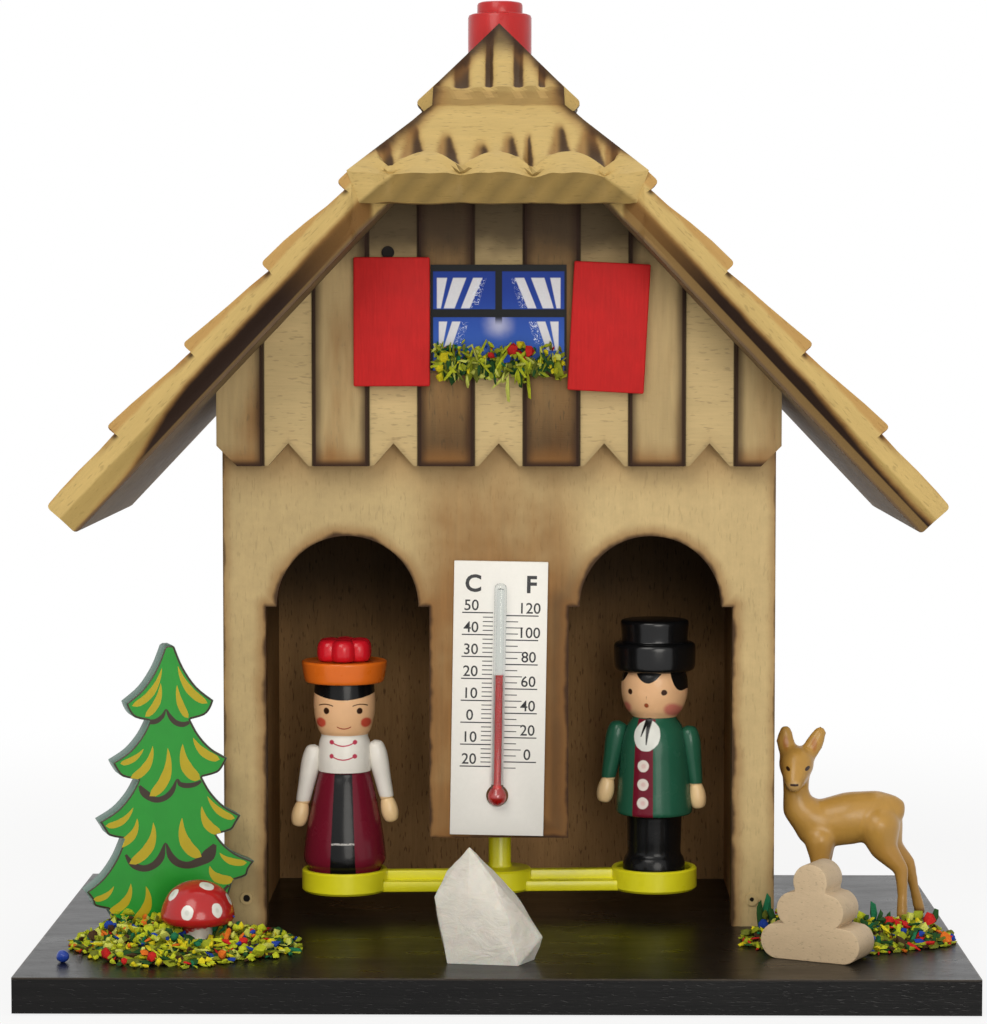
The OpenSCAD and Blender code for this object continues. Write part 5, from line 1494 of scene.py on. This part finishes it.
CRUMB_PAINTS = (rgb(196, 206, 48), rgb(214, 220, 104), rgb(156, 166, 44), rgb(116, 124, 46), rgb(46, 86, 44),
                rgb(38, 116, 78), rgb(232, 216, 40), rgb(40, 72, 172), rgb(206, 44, 40), rgb(230, 118, 40),
                rgb(72, 52, 34))


def crumb_paint(name, colour):
    p = Paint(name)
    porous = p.cells(0.35)
    colour = p.shade(p.shade(colour, p.cloud(0.7, detail=3), 0.72, 1.2), porous, 0.9, 1.08)
    return p.finish(colour, 0.8, porous, 0.08, Specular_IOR_Level=0.12)


def foams(name, level=1.0):
    """The dyed foams of one bed, all darkened alike."""
    dyes = enumerate(CRUMB_PAINTS)
    return [crumb_paint("%s foam %d" % (name, i), [level * v for v in dye]) for i, dye in dyes]


def pick(rand, weights):
    """A paint by its share."""
    at = rand.uniform(0, sum(weights))
    for i, weight in enumerate(weights):
        at -= weight
        if at <= 0:
            return i
    return 0


def crumb(bm, rand, at, half, paint, lean=0.6, turn=None):
    """One torn shred of foam with its paint."""
    made = bmesh.ops.create_icosphere(bm, subdivisions=1, radius=1.0)
    turn = turn or Euler((rand.gauss(0, lean), rand.gauss(0, lean), rand.uniform(0, math.tau))).to_matrix()
    for vert in made["verts"]:
        torn = 1 + rand.uniform(-0.38, 0.38)
        here = Vector((vert.co.x * half[0], vert.co.y * half[1], vert.co.z * half[2])) * torn
        vert.co = Vector(at) + turn @ here
    for face in {f for v in made["verts"] for f in v.link_faces}:
        face.material_index = paint


def shred(rand, size):
    """Half sizes of a crumb: most are long and thin, some are lumps."""
    if rand.random() < 0.68:
        return size * rand.uniform(1.0, 2.0), size * rand.uniform(0.35, 0.6), size * rand.uniform(0.28, 0.5)
    return tuple(size * rand.uniform(0.65, 1.05) for _ in range(3))


def heap_height(heaps, x, y, hollow):
    """How high the bed lies at a place, lower round the hollow."""
    best = 0.0
    for cx, cy, radius, tall in heaps:
        away = ((x - cx) ** 2 + (y - cy) ** 2) / radius ** 2
        best = max(best, tall * (1 - away) if away < 1 else 0.0)
    return best * (0.25 + 0.75 * fade(math.hypot(x - hollow[0], y - hollow[1]), hollow[2] * 0.5, hollow[2]))


def moss(name, heaps, count, seed, clear, node, weights, hollow, sprigs=()):
    """A ragged bed of crumbs heaped on the base, with loose ones at its rim."""
    rand = random.Random(seed)
    ground = box_mm("base_board")[1].z
    bm = bmesh.new()
    area = [r * r for _, _, r, _ in heaps]
    placed = 0
    while placed < count:
        cx, cy, radius, _ = heaps[pick(rand, area)]
        turn, out = rand.uniform(0, 2 * math.pi), radius * math.sqrt(rand.uniform(0, 1.08))
        x, y = cx + out * math.cos(turn), cy + out * math.sin(turn)
        size = rand.uniform(0.55, 1.0) if rand.random() < 0.88 else rand.uniform(1.0, 1.5)
        if not clear(x, y, size):
            continue
        tall = heap_height(heaps, x, y, hollow)
        half = shred(rand, size)
        rise = ground + half[2] + rand.uniform(0, 1) ** 0.8 * tall
        paint = pick(rand, weights)
        crumb(bm, rand, (x, y, rise), half, paint, 0.5 if tall > 0.4 else 0.06)
        placed += 1
    for i, (cx, cy, radius, tall) in enumerate(heaps):
        steps = 7
        for ring in range(steps):
            for k in range(max(1, ring * 6)):
                turn, out = 2 * math.pi * k / max(1, ring * 6) + ring * 0.3, radius * 0.94 * ring / steps
                x, y = cx + out * math.cos(turn), cy + out * math.sin(turn)
                if clear(x, y, 1.2):
                    half = (radius * rand.uniform(0.1, 0.13), radius * rand.uniform(0.09, 0.12),
                            max(heap_height(heaps, x, y, hollow) * 0.4, 0.3))
                    crumb(bm, rand, (x, y, ground + half[2] * 0.7), half, (3, 4, 10, 2)[(k + i) % 4], 0.05)
    for vert in bm.verts:
        vert.co.z = max(vert.co.z, ground)
    for x, y, z, long, wide, paint in sprigs:
        aim = Euler((rand.gauss(0, 0.2), rand.gauss(1.5, 0.25), 0)).to_matrix()
        crumb(bm, rand, (x, y, z), (long, wide, wide), paint, turn=aim)
    show(name, bm, foams(name), "house", "foam_crumbs", node, sharp=50)


def beyond(x, y, at, turn, half_x, half_y):
    """Whether a point lies outside a turned rectangle."""
    away = Matrix.Rotation(-math.radians(turn), 2) @ (Vector((x, y)) - Vector(at))
    return abs(away.x) > half_x or abs(away.y) > half_y


# Where crumbs can't lie because of the front panel, and a hollow that is nowhere near.
FRONT_AT, FRONT_HALF = (0, -9), (52.4, 4)
NO_HOLLOW = (200, 0, 1)


def off_front(x, y, size):
    """Whether a crumb lies clear of the front panel."""
    return beyond(x, y, FRONT_AT, 0, FRONT_HALF[0] + size, FRONT_HALF[1] + size)


class MossPieces(bpy.types.Operator):
    """Heaps dyed foam crumbs on the base"""

    bl_idname = "weather_house.moss"
    bl_label = "Moss and flowers"

    def execute(self, context):
        s = sizes()
        weights = (24, 16, 8, 4, 10, 6, 14, 6, 6, 5, 4)

        def left_clear(x, y, size):
            return (beyond(x, y, TREE_FOOT, TREE_TURN, 9.8, 2.6) and off_front(x, y, size)
                    and math.hypot(x - TOADSTOOL.x, y - TOADSTOOL.y) > STEM_R)

        def right_clear(x, y, size):
            return (beyond(x, y, BUSH_AT, BUSH_TURN, BUSH_WIDE / 2 + size, 4.3 + size)
                    and off_front(x, y, size))

        left = [(-67.5, -17.0, 10.5, 4.6), (-54.0, -28.0, 14.8, 3.6), (-64.5, -32.0, 16.8, 4.0),
                (-72.5, -25.0, 13.5, 4.0), (-55.5, -25.5, 5.0, 6.8), (-78.5, -29.0, 7.0, 2.2),
                (-75.5, -18.8, 6.0, 5.4)]
        right = [(57.6, -18.4, 5.4, 6.6), (60.5, -21.5, 11.5, 3.8), (73.0, -21.8, 12.2, 4.6),
                 (82.6, -19.5, 9.8, 4.6)]
        moss("left_moss_crumbs", left, s.left_crumbs, LEFT_SEED, left_clear, "left_moss", weights,
             (TOADSTOOL.x + 0.5, TOADSTOOL.y - 5.5, 7.5))
        darker = (18, 10, 14, 8, 18, 8, 10, 3, 7, 2, 2)
        sprigs = ((53.2, -19.2, 12.6, 3.6, 0.8, 4), (54.4, -18.6, 13.2, 3.0, 0.9, 5),
                  (55.8, -19.0, 11.6, 3.0, 0.9, 4), (57.4, -18.8, 11.2, 2.8, 0.7, 0),
                  (58.4, -19.4, 12.0, 2.4, 0.7, 5), (53.6, -20.4, 10.6, 1.2, 1.1, 7),
                  (55.4, -20.6, 9.8, 2.2, 0.8, 1), (76.4, -18.4, 12.4, 2.4, 0.9, 5),
                  (77.4, -19.0, 11.4, 2.0, 0.8, 4), (89.0, -17.4, 11.6, 1.8, 0.8, 4),
                  (79.3, -20.6, 11.5, 1.25, 1.2, 8), (82.4, -21.4, 10.6, 1.2, 1.1, 8),
                  (87.6, -18.8, 11.2, 1.4, 1.2, 8), (84.8, -25.4, 9.0, 1.3, 1.15, 8),
                  (90.4, -23.0, 8.2, 1.1, 1.2, 9))
        moss("right_moss_crumbs", right, s.right_crumbs, RIGHT_SEED, right_clear, "right_moss", darker,
             NO_HOLLOW, sprigs)
        return {"FINISHED"}


class FlowerPieces(bpy.types.Operator):
    """Glues crumbs and shreds along the window sill"""

    bl_idname = "weather_house.flowers"
    bl_label = "Sill flowers"

    def execute(self, context):
        rand = random.Random(SILL_SEED)
        low, high = box_mm("window_flowers")
        bm = bmesh.new()
        weights = (26, 12, 18, 8, 12, 6, 9, 3, 3, 3, 2)
        wide, tall = high.x - low.x, high.z - low.z
        for _ in range(sizes().sill_crumbs):
            across = rand.random()
            x = low.x + 0.8 + (wide - 1.6) * across
            z = low.z + 0.8 + (tall + 0.8) * rand.betavariate(2.2, 2.4) + 1.6 * (1 - across) ** 4
            bulge = 1 - abs(2 * (z - low.z) / tall - 1) * 0.4
            y = high.y - 0.5 - (high.y - low.y - 0.6) * rand.random() * bulge
            crumb(bm, rand, (x, y, z), shred(rand, rand.uniform(0.5, 0.95)), pick(rand, weights), 0.9)
        for _ in range(46):
            x, z = low.x + 1 + (wide - 2) * rand.random(), low.z + 1.4 + tall * 0.85 * rand.random()
            aim = Euler((rand.gauss(0, 0.3), rand.gauss(math.pi / 2, 0.75), rand.gauss(0, 0.3))).to_matrix()
            half = (rand.uniform(1.3, 2.6), rand.uniform(0.4, 0.65), 0.3)
            crumb(bm, rand, (x, low.y + rand.uniform(0.2, 1.4), z), half, pick(rand, (24, 16, 12, 4, 16, 8)),
                  turn=aim)
        for x, z, long, paint in ((1.9, 118.9, 2.8, 1), (6.2, 119.6, 3.1, 0), (-6.4, 120.4, 1.9, 1),
                                  (4.4, 121.0, 1.8, 4)):
            crumb(bm, rand, (x, low.y + 0.9, z), (long, 0.75, 0.45), paint,
                  turn=Euler((0, 1.5, 0.2)).to_matrix())
        for x, z, size, paint in ((2.6, 127.0, 1.25, 8), (6.4, 126.4, 1.15, 8), (-1.5, 125.7, 0.95, 8),
                                  (1.5, 124.9, 1.0, 7), (-11.2, 125.2, 1.1, 6), (-12.2, 122.9, 1.0, 6),
                                  (-12.0, 121.2, 0.9, 6), (4.4, 127.9, 0.8, 6)):
            crumb(bm, rand, (x, low.y + 0.7, z), (size, size, size), paint)
        for i in range(17):
            x = low.x + 1.2 + (wide - 2.4) * (i + 0.5) / 17
            half = (1.3, 1.2, 2.3 + rand.uniform(-0.4, 0.5))
            crumb(bm, rand, (x, high.y - 1.25, (low.z + high.z) / 2), half, (2, 3, 4, 4)[i % 4], 0.15)
        for vert in bm.verts:
            vert.co.y = min(vert.co.y, high.y)
        show("sill_flowers", bm, foams("Sill", 0.66), "house", "foam_crumbs", "window_flowers", sharp=50)
        return {"FINISHED"}


class BeadPiece(bpy.types.Operator):
    """Rounds the loose blue bead"""

    bl_idname = "weather_house.bead"
    bl_label = "Blue bead"

    def execute(self, context):
        low, high = box_mm("bead")
        bm = bmesh.new()
        bmesh.ops.create_icosphere(bm, subdivisions=4, radius=(high.x - low.x) / 2,
                                   matrix=put((low + high) / 2))
        wander(bm, 0.12, 1.4)
        for vert in bm.verts:
            vert.co.z = min(max(vert.co.z, low.z), high.z)
        show("bead_round", bm, lacquer("Bead blue", rgb(36, 66, 158), 0.3), "house", "bead_blue", "bead",
             sharp=60)
        return {"FINISHED"}


# The fawn's place, how it is fused, and its chains of balls: how flat, then X, Y, Z and radius.
FAWN_AT = Vector((74.5, 5, GROUND))
VOXEL, ROUNDS = 0.42, 9
FAWN_CHAINS = (
    (0.8, ((-7.6, 0, 20.0, 5.0), (-1.0, 0, 21.3, 5.6), (4.4, 0, 22.1, 5.1), (7.4, 0, 23.0, 3.4),
           (9.6, 0, 24.0, 1.3))),
    (0.9, ((-8.4, 0, 20.8, 4.6), (-11.6, -0.4, 23.4, 3.4), (-12.3, -0.7, 27.2, 2.7),
           (-12.2, -0.7, 31.5, 3.0))),
    (1.0, ((-12.2, -0.9, 33.0, 3.75), (-12.6, -3.0, 31.2, 2.8), (-13.0, -5.0, 29.2, 1.8))),
    (0.7, ((-13.9, -0.2, 34.8, 1.8), (-14.5, 0, 37.6, 2.0), (-14.4, 0.1, 39.6, 1.4))),
    (0.7, ((-10.0, -0.2, 34.4, 1.9), (-8.3, 0, 37.2, 1.95), (-7.2, 0.1, 39.4, 1.4))),
    (1.0, ((-7.3, -1.8, 17.0, 3.3), (-7.3, -2.4, 13.4, 2.2), (-7.4, -2.7, 8.4, 1.4), (-7.3, -2.8, 3.0, 1.05),
           (-7.2, -3.0, 1.0, 1.3))),
    (1.0, ((-6.6, 1.8, 17.0, 3.2), (-6.2, 2.5, 12.6, 2.0), (-6.0, 2.9, 8.4, 1.4), (-5.6, 3.1, 3.0, 1.05),
           (-5.4, 3.3, 1.0, 1.3))),
    (1.0, ((5.0, -1.6, 20.0, 4.5), (5.8, -2.3, 15.6, 2.9), (9.7, -3.0, 11.0, 1.55), (9.9, -3.5, 5.6, 1.1),
           (9.8, -4.0, 1.0, 1.3))),
    (1.0, ((6.2, 1.6, 20.0, 4.3), (8.0, 2.3, 15.0, 2.5), (11.9, 3.0, 11.4, 1.45), (13.2, 3.8, 6.0, 1.1),
           (14.5, 4.6, 1.0, 1.3))))


def fawn_plastic():
    p, c = Paint("Fawn plastic"), colours()
    x, y, z = p.split(p.local(FAWN_AT))
    streak = p.cloud(3.5, (1, 1, 1.6), 3, 0.55, 1.2)
    p.colour = p.shade(c.fawn_tan, streak, 0.84, 1.1)
    # Painted shade: darker brown below the belly, on the legs.
    p.coat(p.step(z, 18.5, 14.5) * 0.25, rgb(146, 96, 40))
    front = p.step(y, -0.6, -1.2)
    for ex, ez in ((-14.5, 37.4), (-8.5, 37.0)):
        cup = p.step(p.hypot((x - ex) * 1.6, (z - ez) * 0.62), 1.3, 0.5) * p.step(y, 0.1, -0.3)
        p.coat(cup * 0.55, rgb(164, 84, 26))
    muzzle = p.step(p.hypot(x + 13.0, (z - 28.6) * 1.1), 2.0, 1.0) * p.step(y, -3.6, -4.6)
    p.coat(muzzle * 0.5, rgb(206, 172, 122))
    for ex, wide in ((-14.25, 1.7), (-10.15, 1.15)):
        lean = (z - 32.4) - (x - ex) * (0.35 if ex > -12 else -0.35)
        eye = p.step(p.hypot((x - ex) * wide, lean * 1.5), 0.78, 0.55) * front
        p.coat(eye, rgb(46, 24, 12))
    mouth = p.step(abs(z - 29.2), 0.32, 0.18) * p.step(abs(x + 13.05), 0.95, 0.75) * p.step(y, -4.2, -4.8)
    p.coat(mouth, rgb(50, 26, 14))
    hoof = p.step(z, 1.9, 1.3)
    p.coat(hoof * 0.6, rgb(104, 66, 30))
    return p.finish(p.colour, streak * 0.12 + 0.26, p.cloud(1.8, detail=3), 0.05, Coat_Weight=0.12,
                    Coat_Roughness=0.2, Specular_IOR_Level=0.3)


def capsule(bm, a, b, flat):
    """Adds the skin round two balls, narrowed across the body."""
    part = bmesh.new()
    for x, y, z, r in (a, b):
        lay = put((x, y, z)) @ Matrix.Diagonal((1, flat, 1, 1))
        bmesh.ops.create_icosphere(part, subdivisions=3, radius=r, matrix=lay)
    hulled(part)
    mesh = bpy.data.meshes.new("capsule")
    part.to_mesh(mesh)
    part.free()
    bm.from_mesh(mesh)
    bpy.data.meshes.remove(mesh)


def fused(bm, voxel, rounds):
    """Joins overlapping solids into one smooth skin."""
    mesh = bpy.data.meshes.new("fusing")
    bm.to_mesh(mesh)
    bm.free()
    obj = linked("fusing", mesh)
    remesh = obj.modifiers.new("Remesh", "REMESH")
    remesh.mode, remesh.voxel_size = "VOXEL", voxel
    skin = evaluated(obj)
    out = bmesh.new()
    out.from_mesh(skin)
    bpy.data.objects.remove(obj)
    bpy.data.meshes.remove(mesh)
    bpy.data.meshes.remove(skin)
    for _ in range(rounds):
        bmesh.ops.smooth_vert(out, verts=out.verts, factor=0.5, use_axis_x=True, use_axis_y=True,
                              use_axis_z=True)
    return out


class FawnPiece(bpy.types.Operator):
    """Moulds the fawn as one smooth body"""

    bl_idname = "weather_house.fawn"
    bl_label = "Fawn"

    def execute(self, context):
        bm = bmesh.new()
        for flat, chain in FAWN_CHAINS:
            for a, b in zip(chain, chain[1:]):
                capsule(bm, a, b, flat)
        bm = fused(bm, VOXEL, ROUNDS)
        bmesh.ops.translate(bm, vec=FAWN_AT, verts=bm.verts)
        for vert in bm.verts:
            vert.co.z = max(vert.co.z, FAWN_AT.z)
        show("fawn_moulded", bm, fawn_plastic(), "house", "fawn_plastic", "fawn", sharp=60)
        return {"FINISHED"}


# Lamps by name, place, height looked at, size and power; then the floor and the camera, in metres.
LAMPS = (("key", (-0.5, -1.15, 1.05), 0.08, 0.9, 9.2), ("fill", (0.3, -1.35, 0.3), 0.06, 0.7, 6.6),
         ("top", (0.1, 0.35, 1.4), 0.1, 1.2, 5.4))
WARM, AMBIENT = (1, 0.96, 0.89), 0.31
FLOOR_R, FLOOR_Z = 3, -0.0004
CAMERA_AT, LOOK_DOWN, LOOK_LEFT = (0.00706, -0.6739, 0.1341), 3.49, 0.70
SENSOR, LENS = 36, 114.3


class StagePieces(bpy.types.Operator):
    """Sets the pale floor, the soft light and the camera"""

    bl_idname = "weather_house.stage"
    bl_label = "Stage"

    def execute(self, context):
        scene = context.scene
        scene.view_settings.view_transform = "Standard"
        bm = bmesh.new()
        bmesh.ops.create_circle(bm, cap_ends=True, radius=FLOOR_R, segments=96)
        bmesh.ops.translate(bm, vec=(0, 0, FLOOR_Z), verts=bm.verts)
        mesh = bpy.data.meshes.new("floor")
        bm.to_mesh(mesh)
        bm.free()
        mesh.materials.append(self.floor_finish())
        floor = linked("floor", mesh)
        self.world(scene)
        for lamp in LAMPS:
            self.lamp(*lamp)
        camera = bpy.data.cameras.new("camera")
        camera.sensor_fit = "VERTICAL"
        camera.sensor_height = SENSOR
        camera.lens = LENS
        camera.clip_start = 0.01
        obj = linked("camera", camera)
        obj.location = CAMERA_AT
        obj.rotation_euler = Euler((math.radians(90 - LOOK_DOWN), 0, math.radians(LOOK_LEFT)))
        scene.camera = obj
        return {"FINISHED"}

    def floor_finish(self):
        """Pale floor that fades into the white round it and keeps the object's shadow."""
        p = Paint("Pale floor")
        colour = p.shade((0.86, 0.86, 0.86), p.cloud(60, detail=3), 0.985, 1.015)
        p.finish(colour, 0.75, Specular_IOR_Level=0.0)
        nodes, links = p.tree.nodes, p.tree.links
        path = p.node("ShaderNodeLightPath")
        seen = p.most(*(Field(p, path.outputs["Is %s Ray" % kind])
                        for kind in ("Camera", "Glossy", "Transmission")))
        white = p.node("ShaderNodeEmission")
        far = p.step(p.hypot(p.x, p.y), 170, 420)
        blend = p.node("ShaderNodeMixShader")
        p.feed(blend.inputs[0], seen * (far * 0.15 + 0.85))
        links.new(p.shader.outputs[0], blend.inputs[1])
        links.new(white.outputs[0], blend.inputs[2])
        links.new(blend.outputs[0], nodes["Material Output"].inputs["Surface"])
        return p.material

    def world(self, scene):
        """White where it is seen, and a plain level as light."""
        world = bpy.data.worlds.new("studio")
        world.use_nodes = True
        nodes, links = world.node_tree.nodes, world.node_tree.links
        path = nodes.new("ShaderNodeLightPath")
        level = nodes["Background"]
        level.inputs["Color"].default_value = (1, 1, 1, 1)
        level.inputs["Strength"].default_value = AMBIENT
        white = nodes.new("ShaderNodeBackground")
        white.inputs["Color"].default_value = (1, 1, 1, 1)
        white.inputs["Strength"].default_value = 1
        seen = path.outputs["Is Camera Ray"]
        for kind in ("Is Glossy Ray", "Is Transmission Ray"):
            either = nodes.new("ShaderNodeMath")
            either.operation = "MAXIMUM"
            links.new(seen, either.inputs[0])
            links.new(path.outputs[kind], either.inputs[1])
            seen = either.outputs[0]
        blend = nodes.new("ShaderNodeMixShader")
        links.new(seen, blend.inputs[0])
        links.new(level.outputs[0], blend.inputs[1])
        links.new(white.outputs[0], blend.inputs[2])
        links.new(blend.outputs[0], nodes["World Output"].inputs["Surface"])
        scene.world = world

    def lamp(self, name, place, height, size, power):
        """A warm disk of light that looks at a height on the middle line."""
        light = bpy.data.lights.new(name, "AREA")
        light.shape = "DISK"
        light.size = size
        light.energy = power
        light.color = WARM
        obj = linked(name, light)
        obj.location = place
        aim = Vector((0, 0, height)) - Vector(place)
        obj.rotation_euler = aim.to_track_quat("-Z", "Y").to_euler()


PIECES = (BasePiece, WallPieces, RoofPieces, ChimneyPiece, ArmPieces, WindowPieces, ThermometerPieces,
          WomanPieces, ManPieces, TreePiece, ToadstoolPieces, BushPiece, StonePiece, MossPieces, FlowerPieces,
          BeadPiece, FawnPiece, StagePieces)


class HousePanel(bpy.types.Panel):
    """Lists the pieces of the weather house"""

    bl_idname = "VIEW3D_PT_weather_house"
    bl_label = "Weather house"
    bl_space_type = "VIEW_3D"
    bl_region_type = "UI"
    bl_category = "Weather house"

    def draw(self, context):
        layout = self.layout
        for piece in PIECES:
            layout.operator(piece.bl_idname)
        for group in (context.scene.house_sizes, context.scene.house_colours):
            column = layout.column()
            for key in group.bl_rna.properties.keys():
                if key not in {"rna_type", "name"}:
                    column.prop(group, key)


CLASSES = (HouseColours, HouseSizes, *PIECES, HousePanel)


def register():
    for cls in CLASSES:
        bpy.utils.register_class(cls)
    bpy.types.Scene.house_colours = PointerProperty(type=HouseColours)
    bpy.types.Scene.house_sizes = PointerProperty(type=HouseSizes)


def unregister():
    del bpy.types.Scene.house_sizes
    del bpy.types.Scene.house_colours
    for cls in reversed(CLASSES):
        bpy.utils.unregister_class(cls)


def main():
    register()
    bpy.ops.weather_house.base()
    bpy.ops.weather_house.walls()
    bpy.ops.weather_house.roof()
    bpy.ops.weather_house.chimney()
    bpy.ops.weather_house.arm()
    bpy.ops.weather_house.window()
    bpy.ops.weather_house.thermometer()
    bpy.ops.weather_house.woman()
    bpy.ops.weather_house.man()
    bpy.ops.weather_house.tree()
    bpy.ops.weather_house.toadstool()
    bpy.ops.weather_house.bush()
    bpy.ops.weather_house.stone()
    bpy.ops.weather_house.moss()
    bpy.ops.weather_house.flowers()
    bpy.ops.weather_house.bead()
    bpy.ops.weather_house.fawn()
    bpy.ops.weather_house.stage()


if __name__ == "__main__":
    main()
